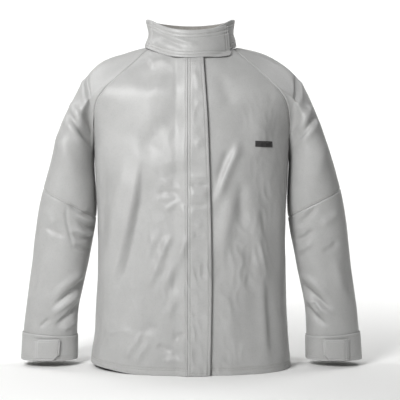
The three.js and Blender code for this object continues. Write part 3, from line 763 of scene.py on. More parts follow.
# Raglan sleeves: one piece from the armhole seam to the elbow seam, another on to the cuff
sleeve = {
    "sections": [(40, 3, 52, 78, 0), (156, 3, 70, 72, -4), (283, 26, 67, 60, 0),
                 (381, 43, 63, 50, 8), (505, 40, 65, 42, 14)],  # drop, stand-off, sizes, forward
    "power": 2.2, "reach": (0.61, 0.38), "capDrop": 40, "outerSeam": 97, "innerSeam": 168,
    "cuffTop": 449, "cuffEnd": 505, "columns": 190, "girth": 62,  # a mean radius, for seam widths
}
standOff, ringWidth, ringDepth, ringForward = [
    curveThrough([(ring[0], ring[k]) for ring in sleeve["sections"]]) for k in range(1, 5)]


def sleevePoint(drop, turn):
    across = np.abs(np.cos(turn)) / ringWidth(drop)
    deep = np.abs(np.sin(turn)) / ringDepth(drop)
    radius = (across ** sleeve["power"] + deep ** sleeve["power"]) ** (-1 / sleeve["power"])
    z = body["underarm"] - drop
    centre = halfWidth(np.maximum(z, 0)) + standOff(drop) + ringWidth(drop)
    return np.stack([centre - radius * np.cos(turn),
                     bodyY - ringForward(drop) - radius * np.sin(turn), z + 0 * turn], -1)


def armholeRing():  # points round the armhole, and the way the cloth leaves each of them
    frontLine, backLine = leftBase["p"][firstHigh:, -1], backBase["p"][firstHigh:, -1]
    frontOut = unit(leftBase["p"][firstHigh:, -1] - leftBase["p"][firstHigh:, -6])
    backOut = unit(backBase["p"][firstHigh:, -1] - backBase["p"][firstHigh:, -6])
    frontNormal, backNormal = leftBase["n"][firstHigh:, -1], backBase["n"][firstHigh:, -1]
    neckArc = neckPoint(np.linspace(body["frontSeamAngle"], body["backSeamAngle"], 24))[1:-1]
    points = np.concatenate([frontLine, neckArc, backLine[::-1][:-1]])
    blend = np.linspace(0, 1, len(neckArc))[:, None]
    outs = np.concatenate([frontOut, unit(mix(frontOut[-1], backOut[-1], blend)),
                           backOut[::-1][:-1]])
    faces = np.concatenate([frontNormal, unit(mix(frontNormal[-1], backNormal[-1], blend)),
                            backNormal[::-1][:-1]])
    follow = smooth(0.04, 0.3, highShares) * (1 - smooth(0.4, 0.85, highShares))
    weights = np.concatenate([follow, np.zeros(len(neckArc)), follow[::-1][:-1]])
    tangents = unit(np.roll(points, -1, 0) - np.roll(points, 1, 0))
    outs = unit(outs - np.sum(outs * tangents, -1, keepdims=True) * tangents)
    lengths = lengthsAlong(np.vstack([points, points[:1]]))
    at = np.linspace(0, lengths[-1], sleeve["columns"] + 1)[:-1]
    read = lambda values: readAt(at, lengths, np.vstack([values, values[:1]]))
    around = 2 * math.pi * at / lengths[-1]
    outwards = np.sin(around / 2)[:, None] ** 2
    straight = unit(np.concatenate([0.98 * outwards, 0 * outwards, 0.81 * outwards - 1], 1))
    face = unit(read(faces))
    inPlane = unit(straight - np.sum(straight * face, -1, keepdims=True) * face)
    weight = np.interp(at, lengths, np.append(weights, weights[0]))[:, None]
    away = unit(mix(straight, mix(inPlane, read(outs), 0.5), weight))
    for _ in range(16):  # evened out round the armhole
        away = unit((np.roll(away, 1, 0) + 2 * away + np.roll(away, -1, 0)) / 4)
    return read(points), away, around


ringPoints, ringAway, turns = armholeRing()


def elbowDrop(turn):
    return mix(sleeve["innerSeam"], sleeve["outerSeam"], np.sin(turn / 2) ** 2)


def upperSleeveRows(count=86):
    columns, fromArmhole, fromElbow = [], [], []
    for point, away, turn in zip(ringPoints, ringAway, turns):
        start, below = [sleevePoint(np.array(sleeve["capDrop"] + drop), np.array(turn))
                        for drop in (0, 40)]
        span = np.linalg.norm(point - start)
        outwards = math.sin(turn / 2) ** 2
        lean = unit(start - below)
        handles = [start, start + lean * span * mix(0.35, sleeve["reach"][0], outwards),
                   point + away * span * mix(0.35, sleeve["reach"][1], outwards), point]
        s = np.linspace(0, 1, 120)[:, None]
        cap = ((1 - s) ** 3 * handles[0] + 3 * s * (1 - s) ** 2 * handles[1]
               + 3 * s * s * (1 - s) * handles[2] + s ** 3 * handles[3])
        drops = np.linspace(elbowDrop(turn), sleeve["capDrop"], 60)[:-1]
        line = np.vstack([sleevePoint(drops, np.full(59, turn)), cap])
        points, at, total = layOut(line, edgeStops, count, edgeStops)
        columns.append(points)
        fromElbow.append(at)
        fromArmhole.append(total - at)
    return [np.array(x).swapaxes(0, 1) for x in (columns, fromArmhole, fromElbow)]


seamTurns = np.array(edgeStops) / sleeve["girth"]
halfTurns = spaced(math.pi, seamTurns, 62, seamTurns)
lowTurns = np.concatenate([halfTurns, math.pi + halfTurns])
lowTurns[0] = 0.35 / sleeve["girth"]
cuffStops = [0, 0.7, 1.6, 3, 4.5, 5.5, 6.5, 8, 9.5, 10.5, 11.5, 13, 15]


def lowerSleeveRows(count=118):
    columns, fromElbow = [], []
    for turn in lowTurns:
        drops = np.linspace(elbowDrop(turn), sleeve["cuffEnd"] - 1, 160)
        line = sleevePoint(drops, np.full(160, turn))[::-1]
        points, at, total = layOut(line, cuffStops, count, edgeStops)
        columns.append(points)
        fromElbow.append(total - at)
    return [np.array(x).swapaxes(0, 1) for x in (columns, fromElbow)]


sleeveFolds = [
    # wearer's right: crease beside the armhole, drapes of the upper arm
    ([(-252, 706), (-248, 676), (-240, 645), (-230, 600)], -3.4, (5, 4)),
    ([(-262, 700), (-258, 668), (-250, 636), (-240, 596)], 2.4, (8, 8)),
    ([(-292, 632), (-262, 590), (-234, 530)], 3.5, (10, 9)),
    ([(-304, 590), (-270, 548), (-238, 505)], 3, (9, 9)),
    ([(-300, 612), (-266, 568), (-236, 516)], -3, (6, 6)),
    ([(-322, 560), (-290, 500), (-262, 440)], 2.6, (16, 14)),
    # elbow crumples
    ([(-290, 390), (-255, 360), (-222, 364)], -3.6, (6, 7)),
    ([(-272, 352), (-246, 328), (-225, 330)], -3.2, (5, 7)),
    ([(-284, 320), (-258, 303), (-232, 307)], -3.4, (6, 6)),
    ([(-280, 288), (-256, 277), (-240, 270)], -2.6, (5, 6)),
    ([(-276, 376), (-248, 346), (-222, 346)], 2.6, (7, 6)),
    ([(-280, 334), (-252, 315), (-228, 318)], 2.4, (7, 6)),
    ([(-348, 334), (-320, 318), (-292, 306)], -2.6, (6, 8)),
    ([(-356, 380), (-330, 350), (-312, 330)], 2, (10, 10)),
    ([(-290, 388), (-292, 353), (-284, 310), (-274, 262)], -1.8, (3, 4)),
    # forearm drapes
    ([(-244, 214), (-276, 184), (-332, 136)], -5, (5, 9)),
    ([(-250, 226), (-290, 198), (-338, 152)], 3, (9, 10)),
    ([(-254, 158), (-291, 121), (-325, 93)], -4.5, (5, 9)),
    ([(-252, 176), (-296, 148), (-340, 112)], 3, (10, 8)),
    ([(-330, 118), (-344, 106), (-360, 94)], -2.4, (4, 6)),
    ([(-258, 104), (-286, 96), (-310, 84)], 2, (8, 7)),
    ([(-366, 250), (-372, 200), (-384, 150)], -2.4, (9, 9)),
    ([(-340, 270), (-352, 220), (-366, 160)], 2.2, (14, 10)),
    # wearer's left
    ([(252, 706), (250, 676), (245, 640), (233, 600)], -3.4, (4, 5)),
    ([(264, 700), (262, 668), (256, 636), (246, 596)], 2.4, (8, 8)),
    ([(290, 620), (264, 580), (238, 530)], 3, (9, 9)),
    ([(306, 585), (272, 545), (240, 508)], 2.6, (9, 9)),
    ([(300, 600), (268, 560), (240, 520)], -2.8, (6, 6)),
    ([(318, 540), (300, 480), (288, 430)], 2.6, (16, 16)),
    ([(296, 384), (268, 350), (246, 326)], -3.4, (7, 7)),
    ([(350, 372), (322, 348), (296, 336)], 2.6, (10, 10)),
    ([(290, 330), (266, 306), (244, 296)], -3, (6, 7)),
    ([(286, 296), (264, 280), (246, 268)], 2.4, (8, 7)),
    ([(346, 300), (326, 280), (300, 270)], -2.4, (8, 8)),
    ([(250, 203), (280, 177), (307, 154), (332, 132)], -4.6, (9, 5)),
    ([(252, 220), (290, 194), (340, 150)], 3, (10, 9)),
    ([(264, 149), (292, 121), (325, 94)], -4.2, (9, 5)),
    ([(256, 168), (298, 142), (342, 110)], 2.8, (8, 9)),
    ([(286, 154), (293, 142), (301, 130)], -3, (4, 4)),
    ([(366, 260), (374, 200), (386, 150)], -2.4, (9, 9)),
    ([(334, 268), (346, 220), (360, 168)], 2.2, (12, 12)),
]
sleeveBackFolds = [
    ([(-300, 640), (-270, 590), (-240, 540)], 3.5, (12, 10)),
    ([(300, 640), (272, 588), (242, 538)], 3.5, (12, 10)),
    ([(-330, 350), (-290, 320), (-250, 320)], -3, (8, 8)),
    ([(-336, 310), (-296, 288), (-258, 280)], 3, (9, 9)),
    ([(334, 346), (292, 322), (254, 314)], -3, (8, 8)),
    ([(338, 306), (298, 284), (260, 284)], 3, (9, 9)),
    ([(-360, 220), (-320, 180), (-276, 150)], -4, (9, 8)),
    ([(360, 224), (322, 184), (278, 158)], -4, (8, 9)),
    ([(-366, 150), (-330, 120), (-290, 100)], 3, (9, 9)),
    ([(366, 154), (332, 124), (292, 104)], 3, (9, 9)),
]
frontFolds += sleeveFolds
backFolds += sleeveBackFolds


def sleeveInside(points, side):
    inside = points.copy()
    drop = np.maximum(body["underarm"] - points[..., 2], sleeve["capDrop"])
    inside[..., 0] = side * (halfWidth(np.clip(points[..., 2], 0, body["underarm"]))
                             + standOff(drop) + ringWidth(drop))
    inside[..., 1] = bodyY - ringForward(drop)
    high = smooth(480, 640, points[..., 2])
    inside[..., 0] = mix(inside[..., 0], side * 190, high)
    inside[..., 2] = np.minimum(points[..., 2], 560)
    return inside


upperPoints, upperFromArmhole, upperFromElbow = upperSleeveRows()
lowerPoints, lowerFromElbow = lowerSleeveRows()
sideSeam = sleeve["girth"] * np.min(np.abs([lowTurns, 2 * math.pi - lowTurns,
                                            lowTurns - math.pi]), axis=0)
sleeves = {}
for name, side in (("right", -1), ("left", 1)):
    points = mirrorX(upperPoints, side)
    grid = makeGrid(points, closed=True, inside=sleeveInside(points, side))
    heights = drapes(grid) + seamDip(upperFromArmhole, 1.7, 99) + seamDip(upperFromElbow)
    upper = displace(grid, heights)
    points = mirrorX(lowerPoints, side)
    grid = makeGrid(points, closed=True, inside=sleeveInside(points, side))
    heights = drapes(grid) + seamDip(lowerFromElbow, 1.7, 99)
    heights += 0.6 * seamDip(np.broadcast_to(sideSeam, heights.shape))
    lower = displace(grid, heights)
    sleeves[name] = (upper, lower)
    shell(f"{name}_raglan_sleeve", upper, 0, ply["panel"], hide, seams(upper, rows=[stitchCols]))
    outerSeam = nearest(lowTurns, math.pi + seamTurns[stitchCols])
    shell(f"{name}_lower_sleeve", lower, 0, ply["panel"], hide, seams(lower, cols=[outerSeam]))
print("sleeves sewn")

# Cuffs: a doubled band round the wrist, and a tab folded at its outer end and snapped down
cuff = {"base": 0.6, "leather": 1.5, "tabFold": -26, "tabFree": 37, "bottomGap": 3.5,
        "height": 48, "cornerCut": 14, "snapAt": 24, "tabUnder": 6.1, "tabThick": 2.6,
        "rootLength": 12, "stitchIn": 3.2}
cuffTop = cuff["base"] + cuff["leather"]


def cuffBand(name, side, lower):  # the band follows the sleeve under it
    low = body["underarm"] - sleeve["cuffTop"] + 1
    rowsIn = [j for j in range(lower["p"].shape[0]) if lowerPoints[j, 0, 2] < low]
    grid = {"p": lower["p"][rowsIn], "n": lower["n"][rowsIn], "closed": True}
    z = grid["p"][..., 2]
    top = cuffTop + 0.35 + 0.5 * np.sin(3 * np.arctan2(grid["p"][..., 1] - bodyY,
                                                     grid["p"][..., 0] - side * 330)) ** 2
    edge = z - z.min(0)
    topEdge = z.max(0) - z
    heights = dip(edge, 5, 0.5, 0.8) + dip(edge, 10.5, 0.5, 0.8) + dip(topEdge, 4.5, 0.5)
    grid = {**grid, "p": grid["p"] + grid["n"] * heights[..., None]}
    lines = []
    for row in (nearest(edge[:, 0], 5), nearest(edge[:, 0], 10.5), nearest(topEdge[:, 0], 4.5)):
        points, lifts = along(grid, rows=row, top=cuffTop + 0.55)
        lines.append((np.vstack([points, points[:1]]), np.vstack([lifts, lifts[:1]])))
    shell(f"{name}_cuff_band_leather", grid, top, cuff["leather"], hide, lines)


def cuffTab(name, side):
    middle = sleeve["cuffEnd"] - cuff["bottomGap"] - cuff["height"] / 2
    wide = float(ringWidth(middle))
    cols, rows = 64, 44
    span = np.linspace(cuff["tabFold"] - cuff["rootLength"], cuff["tabFree"], cols)
    up = np.linspace(0, 1, rows)
    across, height = np.meshgrid(span, up)
    bottom = cuff["bottomGap"] + np.maximum(0, span - (cuff["tabFree"] - cuff["cornerCut"]))
    topEdge = cuff["bottomGap"] + cuff["height"] - 2.5 * smooth(cuff["tabFree"] - 4,
                                                               cuff["tabFree"], span) ** 2
    level = mix(bottom, topEdge, height)
    turn = math.pi / 2 - np.arcsin(np.clip(across / wide, -0.98, 0.98))
    points = mirrorX(sleevePoint(sleeve["cuffEnd"] - level, turn), side)
    grid = makeGrid(points, inside=sleeveInside(points, side))
    rise = smooth(cuff["tabFold"] - cuff["rootLength"], cuff["tabFold"] + 5, across)
    toEdge = np.minimum(np.minimum(level - bottom, topEdge - level), cuff["tabFree"] - across)
    top = mix(cuffTop + 2.6, cuff["tabUnder"] + cuff["tabThick"], rise)
    dent = dip(toEdge, cuff["stitchIn"], 0.6, 0.8)
    dent += 0.7 * np.exp(-(((across - cuff["snapAt"]) ** 2 + (height - 0.5) ** 2 * 1600) / 60))
    rootSeams = (cuff["tabFold"] - 7, cuff["tabFold"] - 1)
    for seam in rootSeams:
        dent += dip(across, seam, 1.0, 1.3)
    dent -= dip(across, cuff["tabFold"] - 4, 0.9, 2.2)
    grid = displace(grid, dent)
    line = lambda row, col: along(grid, row, col, top[row, col][:, None] + thread["lift"])
    lowRow = int(cuff["stitchIn"] / cuff["height"] * rows) + 1
    colRange = slice(2, cols - 3)
    lines = [line(lowRow, colRange), line(rows - 1 - lowRow, colRange),
             line(slice(4, rows - 4), cols - 4)]
    lines += [line(slice(1, rows - 1), nearest(span, seam)) for seam in rootSeams]
    shell(f"{name}_cuff_tab_leather", grid, top, cuff["tabThick"] - 0.4 * (1 - rise), hide, lines)


for name, side in (("right", -1), ("left", 1)):
    cuffBand(name, side, sleeves[name][1])
    cuffTab(name, side)
print("cuffs sewn")

# Storm flap: its outer ply, lining, and the placket that it closes on
flap = {"start": -6.6, "top": 0.985, "low": 1, "placketTop": 1.8, "placketWidth": 43,
        "count": 26, "tackRows": (700, 707)}
snapLine = {"first": 65, "pitch": 91, "x": 18, "bulgeX": 17,
            "bulges": (1.2, 1.6, 1.8, 2.0, 1.6, 2.8, 1.5)}
flapFolds = [
    ([(-6, 446), (18, 444), (44, 446)], 1.8, (6, 6)),
    ([(-6, 428), (18, 425), (44, 428)], -3.4, (4, 4)),
    ([(-8, 408), (18, 405), (44, 407)], 3.4, (11, 10)),
    ([(-6, 383), (18, 380), (44, 384)], -2.8, (5, 6)),
    ([(4, 318), (18, 312), (34, 314)], -1.5, (5, 5)),
    ([(4, 228), (18, 222), (36, 224)], -1.5, (5, 5)),
    ([(2, 136), (16, 132), (34, 136)], -1.4, (5, 5)),
    ([(4, 690), (14, 660), (16, 630)], 1.6, (8, 8)),
    ([(38, 300), (36, 250), (38, 200)], 1.2, (6, 6)),
]


def flapBase():
    rows, fromEdge, fromFree, rowShare = [], [], [], []
    own = [(z, -1) for z in [flap["low"], 1.7, 2.6, 4, 5.4, 6.6, 8.2, 10, 12, 15, 18, 21]
           + list(np.linspace(24, body["underarm"] - 3, 160))]
    own += [(body["underarm"], s) for s in list(highShares[highShares < flap["top"] - 0.012])
            + [flap["top"] - 0.006, flap["top"]]]
    for z, share in own:
        row = bodyRow(z, share, "front")
        free = angleAt(row, float(flapEdge(row["low"])))
        line = rowPoints(row, np.linspace(angleAt(row, flap["start"]), free, 80), "front")
        points, at, total = layOut(line, edgeStops, flap["count"], edgeStops)
        rows.append(points)
        fromEdge.append(at)
        fromFree.append(total - at)
        rowShare.append(max(share, 0))
    return makeGrid(np.array(rows), fromEdge=np.array(fromEdge), fromFree=np.array(fromFree),
                    share=np.broadcast_to(np.array(rowShare)[:, None], np.array(rows).shape[:2]),
                    row=np.broadcast_to(np.arange(len(own))[:, None], np.array(rows).shape[:2]))


flapGrid = flapBase()
flapPoints = flapGrid["p"].copy()
flapHeights = bodyFolds(flapGrid) + strokeField(flapGrid["p"], -flapGrid["n"][..., 1], flapFolds)
for k, bulge in enumerate(snapLine["bulges"]):  # the snaps press out from under
    spotZ = snapLine["first"] + snapLine["pitch"] * k
    spot = (flapPoints[..., 0] - snapLine["bulgeX"]) ** 2 + (flapPoints[..., 2] - spotZ) ** 2
    flapHeights += bulge * np.exp(-spot / 90) - 0.5 * bulge * np.exp(-spot / 420)
flapHeights += flapRiseAt(flapGrid["share"]) - 0.3 * smooth(12, 0, flapGrid["fromEdge"])
flapHeights += dip(flapGrid["fromEdge"], 0, 0.6, 1.4) + dip(flapGrid["fromEdge"], 5.2, 0.7)
flapHeights += dip(flapGrid["fromFree"], 5.2, 0.8) + dip(flapPoints[..., 2], 6.6, 0.6)
flapHeights += -0.9 * smooth(5, 0, flapGrid["fromFree"])  # the free edge rolls in
for seamZ in flap["tackRows"]:
    flapHeights += dip(flapPoints[..., 2], seamZ, 0.8, 1.1)
flapOuter = displace(flapGrid, flapHeights)
flapRows = [nearest(flapPoints[:, 5, 2], z) for z in (6.6, *flap["tackRows"])]
shell("storm_flap_face", flapOuter, 0, ply["panel"], hide, seams(flapOuter, flapRows, seamCols))
shell("storm_flap_underside", part(flapOuter, slice(2, -2), slice(2, -3)), under, ply["panel"],
      lining)

placket = part(leftFront, slice(5, firstHigh + int(0.93 * len(highShares))),
               slice(0, nearest(leftBase["p"][waistRow, :, 0], flap["placketWidth"])))
shell("snap_placket", placket, flap["placketTop"], ply["panel"], hide,
      seams(placket, cols=(5, -5), top=flap["placketTop"] + thread["lift"]))
print("storm flap sewn")

# Snap fasteners: rolled-rim studs on the placket and cuffs, ring-spring sockets over them
snap = {"sides": 40, "studLift": 1.95, "socketLift": 3.3,
        "stud": [(0, 0), (5.9, 0), (6.4, 0.15), (6.5, 0.4), (6.4, 0.65), (6.0, 0.8), (5.2, 0.72),
                 (4.4, 0.5), (3.4, 0.5), (2.7, 0.72), (2.3, 1.1), (2.3, 1.5), (2.5, 1.9),
                 (2.45, 2.3), (2.1, 2.55), (1.2, 2.6), (0, 2.6)],
        "socket": [(0, 1.8), (2.75, 1.8), (2.9, 1.5), (2.9, 0.25), (3.1, 0.05), (3.6, 0),
                   (4.2, 0.15), (4.5, 0.6), (5.2, 0.9), (6.0, 0.9), (6.4, 1.1), (6.5, 1.5),
                   (6.3, 1.9), (5.6, 2.2), (4, 2.3), (0, 2.3)]}


def turned(name, outline, point, normal):
    helper = np.array([0, 0, 1.0]) if abs(normal[2]) < 0.9 else np.array([1.0, 0, 0])
    right = unit(np.cross(helper, normal))
    up = np.cross(normal, right)
    angles = np.linspace(0, 2 * math.pi, snap["sides"], endpoint=False)
    verts = [point + normal * outline[0][1]]
    for radius, height in outline[1:-1]:
        verts += list(point + normal * height + radius * (np.cos(angles)[:, None] * right
                                                         + np.sin(angles)[:, None] * up))
    verts.append(point + normal * outline[-1][1])
    sides, rings, faces = snap["sides"], len(outline) - 2, []
    for k in range(sides):
        after = (k + 1) % sides
        faces.append((0, 1 + after, 1 + k))
        for ring in range(rings - 1):
            a, b = 1 + ring * sides + k, 1 + ring * sides + after
            faces.append((a, b, b + sides, a + sides))
        faces.append((1 + (rings - 1) * sides + k, 1 + (rings - 1) * sides + after, len(verts) - 1))
    if insideOut(np.array(verts)[[face[:3] for face in faces]]):
        faces = [face[::-1] for face in faces]
    addMesh(name, verts, faces, [0] * len(faces), [nickel])


snapCount = len(snapLine["bulges"])
for k in range(snapCount):
    row = nearest(leftFront["p"][:, 20, 2], snapLine["first"] + k * snapLine["pitch"])
    col = nearest(leftFront["p"][row, :, 0], snapLine["x"])
    point, normal = leftFront["p"][row, col], leftFront["n"][row, col]
    for half in ("stud", "socket"):
        turned(f"snap_{half}_{k + 1}_metal", snap[half], point + normal * snap[half + "Lift"],
               normal)
print("snaps set")

# Collar: a standing band, and the strap that crosses the front and closes on its end
collar = {"frontHeight": 57.5, "sideHeight": 66, "tipDrop": 4, "backHeight": 58, "lift": 2,
          "taper": 7, "underEnd": 2, "strapFrom": -62, "strapTo": 52, "thick": 3.4,
          "tabTop": 7.5, "rampFrom": -56, "rampTo": -16, "cornerDrop": 15, "cornerCut": 7,
          "rows": 16}
topStops = [0, 0.7, 1.7, 3, 5, 7, 8.2, 9, 9.8, 12, 15.2, 16, 16.8, 19]
bottomStops = [0, 0.7, 1.7, 3, 4.6, 5.5, 6.4, 8.5, 10.7, 11.5, 12.3, 14]
tabStops = [0, 0.7, 1.6, 2.8, 4.6, 5.4, 6.2, 8.8, 10.9, 11.7, 12.5, 14.5]
collarFolds = [
    ([(-92, 772), (-65, 755), (-40, 741)], 3.4, (6, 6)),
    ([(-78, 777), (-49, 761), (-10, 740)], -3.6, (4.5, 6)),
    ([(-52, 768), (-12, 754), (24, 747)], 2.8, (6, 6)),
    ([(-96, 757), (-84, 748), (-68, 738)], -2, (5, 5)),
    ([(-90, 790), (-76, 784), (-50, 776)], 1.4, (5, 5)),
    ([(30, 775), (54, 768), (76, 766)], -1.2, (9, 9)),
]


def collarPoint(angle, share):
    base = neckPoint(angle)
    turn = np.radians(angle)
    height = mix(collar["frontHeight"], collar["sideHeight"], smooth(18, 70, np.abs(angle)))
    height = height - collar["tipDrop"] * smooth(66, 92, np.abs(angle))  # rounded at the sides
    height = mix(height, collar["backHeight"], smooth(90, 180, np.abs(angle)))
    upright = smooth(0, -70, angle) * smooth(-180, -110, angle)
    lean = share * collar["taper"] * (1 - upright)
    return base + np.stack([-lean * np.sin(turn), lean * np.cos(turn),
                            collar["lift"] + share * height], -1)


def collarGrid(start, end, count, endStops, startStops):
    angles = np.linspace(start, end, 400)
    wrap = lambda turned: np.where(turned > 180, turned - 360, turned)
    lengths = lengthsAlong(collarPoint(wrap(angles), np.zeros(len(angles))))
    total = lengths[-1]
    at = spaced(total, startStops, count, endStops)
    columns = wrap(np.interp(at, lengths, angles))
    grids = []
    for angle in columns:
        upright = collarPoint(np.full(60, angle), np.linspace(0, 1, 60))
        points, climbed, height = layOut(upright, bottomStops, collar["rows"], topStops)
        grids.append((points, climbed, height - climbed))
    points, low, high = [np.array(x).swapaxes(0, 1) for x in zip(*grids)]
    inside = points.copy()
    inside[..., 0], inside[..., 1] = 0, bodyY
    return makeGrid(points, inside=inside, fromLow=low, fromHigh=high,
                    fromStart=np.broadcast_to(at, low.shape),
                    fromEnd=np.broadcast_to(total - at, low.shape),
                    angle=np.broadcast_to(columns, low.shape),
                    share=low / (low + high))


def stitchDents(distance, places, depth=0.95, width=1.1):
    return sum(dip(distance, place, depth, width) for place in places)


def clearOf(points, grid, room):  # push points out until they clear another surface
    near = grid["p"].reshape(-1, 3)
    nearNormals = grid["n"].reshape(-1, 3)
    low, high = points.reshape(-1, 3).min(0) - 40, points.reshape(-1, 3).max(0) + 40
    keep = np.all((near > low) & (near < high), axis=1)
    near, nearNormals = near[keep], nearNormals[keep]
    flat = points.reshape(-1, 3).copy()
    for k in range(len(flat)):
        closest = int(np.argmin(np.sum((near - flat[k]) ** 2, axis=1)))
        height = (flat[k] - near[closest]) @ nearNormals[closest]
        if height < room and np.linalg.norm(flat[k] - near[closest]) < 30:
            flat[k] += nearNormals[closest] * (room - height)
    return flat.reshape(points.shape)


rowTop = len(bottomStops) + collar["rows"] + len(topStops) - 1
bottomRows = [bottomStops.index(5.5), bottomStops.index(11.5)]
topRows = [rowTop - topStops.index(9), rowTop - topStops.index(16)]

bandGrid = collarGrid(collar["underEnd"], 360 + collar["strapFrom"], 150, edgeStops, edgeStops)
bandHeights = waves(bandGrid["p"], 11, (50, 120), 0.9) * smooth(0, 14, bandGrid["fromLow"])
bandHeights += stitchDents(bandGrid["fromLow"], (5.5, 11.5))
bandHeights += stitchDents(bandGrid["fromHigh"], (9, 16))
bandShare = bandGrid["share"]
sideways = np.exp(-((np.abs(bandGrid["angle"]) - 88) / 26) ** 2)
bandHeights += sideways * (2.5 * smooth(0.55, 1, bandShare) ** 2
                           - 3.5 * np.exp(-((bandShare - 0.5) / 0.22) ** 2))
root = np.where(bandGrid["angle"] < 0, smooth(110, 62, -bandGrid["angle"]), 0)
bandHeights += 9 * root * smooth(0.45, 0.0, bandShare) ** 1.5
bandHeights += seamDip(bandGrid["fromEnd"]) - 1.2 * smooth(60, 30, np.abs(bandGrid["angle"] - 30))
band = displace(bandGrid, bandHeights)
shell("collar_standing_band", band, 0, collar["thick"], hide, seams(band, bottomRows + topRows))

strapGrid = collarGrid(collar["strapFrom"], collar["strapTo"], 74, tabStops, edgeStops)
angle, share = strapGrid["angle"], strapGrid["share"]
ramped = smooth(collar["rampFrom"], collar["rampTo"], angle)
strapHeights = ramped * (collar["tabTop"] + 3.6 * (1 - smooth(0.05, 0.5, share))
                         * smooth(-40, -12, angle) * smooth(44, 20, angle))
strapHeights += strokeField(strapGrid["p"], -strapGrid["n"][..., 1] + 0.2, collarFolds)
strapHeights += waves(strapGrid["p"], 12, (50, 120), 0.7) * smooth(0, 14, strapGrid["fromLow"])
strapHeights += stitchDents(strapGrid["fromLow"], (5.5, 11.5)) \
    + stitchDents(strapGrid["fromHigh"], (9, 16)) + stitchDents(strapGrid["fromEnd"], (5.4, 11.7))
strapHeights += seamDip(strapGrid["fromStart"])
strapHeights += 9 * smooth(-26, -58, angle) * smooth(0.45, 0.0, share) ** 1.5  # root turned out
strapHeights -= 2.5 * smooth(-30, -55, angle) * np.exp(-((share - 0.5) / 0.2) ** 2)
sag = smooth(14, 58, angle)
strap = displace(strapGrid, strapHeights)
strap["p"][..., 2] -= sag * collar["cornerDrop"] * (1 - 0.62 * share)
strap["p"][..., 2] -= 5.5 * smooth(-60, -20, angle) * smooth(0.5, 0, share)
strap["p"] += strapGrid["n"] * (sag * 2.0 * (1 - share) ** 1.5)[..., None]
for toEdge in (strapGrid["fromLow"], strapGrid["fromHigh"]):  # the tab's corners are cut round
    pull = np.maximum(0, 1 - strapGrid["fromEnd"] / collar["cornerCut"]) \
        * np.maximum(0, 1 - toEdge / collar["cornerCut"])
    strap["p"] += (np.roll(strap["p"], 3, 1) - strap["p"]) * (0.9 * pull)[..., None]
    strap["p"] += (strap["p"][rowTop // 2][None] - strap["p"]) * (0.11 * pull)[..., None]
clearRoom = collar["thick"] + 1.2
cleared = clearOf(clearOf(strap["p"], part(leftFront, slice(-26, None)), clearRoom),
                  part(sleeves["left"][0], slice(-22, None)), clearRoom)
strap["p"] = mix(strap["p"], cleared, smooth(-8, 8, angle)[..., None])
strap["n"] = normals(strap["p"], False, strap["p"] - strap["n"])
shell("collar_strap", strap, 0, collar["thick"], hide,
      seams(strap, bottomRows + topRows)
      + [along(strap, slice(4, -4), -1 - tabStops.index(stop)) for stop in (5.4, 11.7)])

tapePatch = {"from": 36, "to": 57, "low": 0.24, "high": 0.76, "loop": 1.4, "hook": 1.2}


def within(values, low, high):  # from the first to the last value in a range
    found = np.where((values >= low) & (values <= high))[0]
    return slice(found[0], found[-1] + 1)


def tapeOn(name, source, top, thick):
    columns = within(source["angle"][0], tapePatch["from"], tapePatch["to"])
    rows = within(source["share"][:, columns.start], tapePatch["low"], tapePatch["high"])
    grid = part(source, rows, columns)
    shell(name, grid, top, thick, [tape, tape, thread["pearl"]],
          seams(grid, rows=(2, -3), top=top + 0.05))


tapeOn("loop_tape", band, tapePatch["loop"] + 0.2, tapePatch["loop"])
tapeOn("hook_tape", strap, -collar["thick"] - 0.15, tapePatch["hook"])

hanger = {"half": 30, "width": 9, "bulge": 8, "below": 14, "columns": 48, "rows": 9}
middleCol = backBase["p"].shape[1] // 2
hangerRow = nearest(back["p"][:, middleCol, 2], body["neckBack"] - hanger["below"])
span = np.linspace(-hanger["half"], hanger["half"], hanger["columns"])
across, up = np.meshgrid(span, np.linspace(0, hanger["width"], hanger["rows"]))
ySpan = np.interp(span, back["p"][hangerRow, :, 0], back["p"][hangerRow, :, 1])
loopPoints = np.stack([across, np.broadcast_to(ySpan, across.shape),
                       back["p"][hangerRow, middleCol, 2] + up
                       - 0.35 * (ySpan - bodyY - body["neckBackDepth"])], -1)
loopInside = loopPoints.copy()
loopInside[..., 1] = bodyY
loopGrid = makeGrid(loopPoints, inside=loopInside)
arch = 2 * ply["panel"] + 0.9 + hanger["bulge"] * np.sin(math.pi * (across + hanger["half"])
                                                          / (2 * hanger["half"])) ** 0.8
shell("hanging_loop", loopGrid, -arch, ply["panel"], lining,
      [along(loopGrid, rows=row, top=-arch[row][:, None] + thread["lift"]) for row in (2, 6)])
print("collar sewn")

# Blank leather patch, cut plain, with a row of stitches round it
patch = {"x": 166, "z": 521, "width": 40, "height": 13, "lift": 0.35, "thick": 1.0,
         "columns": 44, "rows": 18}


def onSurface(grid, x, z):
    flat, lifts = grid["p"].reshape(-1, 3), grid["n"].reshape(-1, 3)
    points = np.zeros(x.shape + (3,))
    for spot in np.ndindex(x.shape):
        here = int(np.argmin((flat[:, 0] - x[spot]) ** 2 + (flat[:, 2] - z[spot]) ** 2
                             + 1e3 * (lifts[:, 1] > 0)))
        p, n = flat[here], lifts[here]
        y = p[1] - (n[0] * (x[spot] - p[0]) + n[2] * (z[spot] - p[2])) / n[1]
        points[spot] = (x[spot], y, z[spot])
    return points


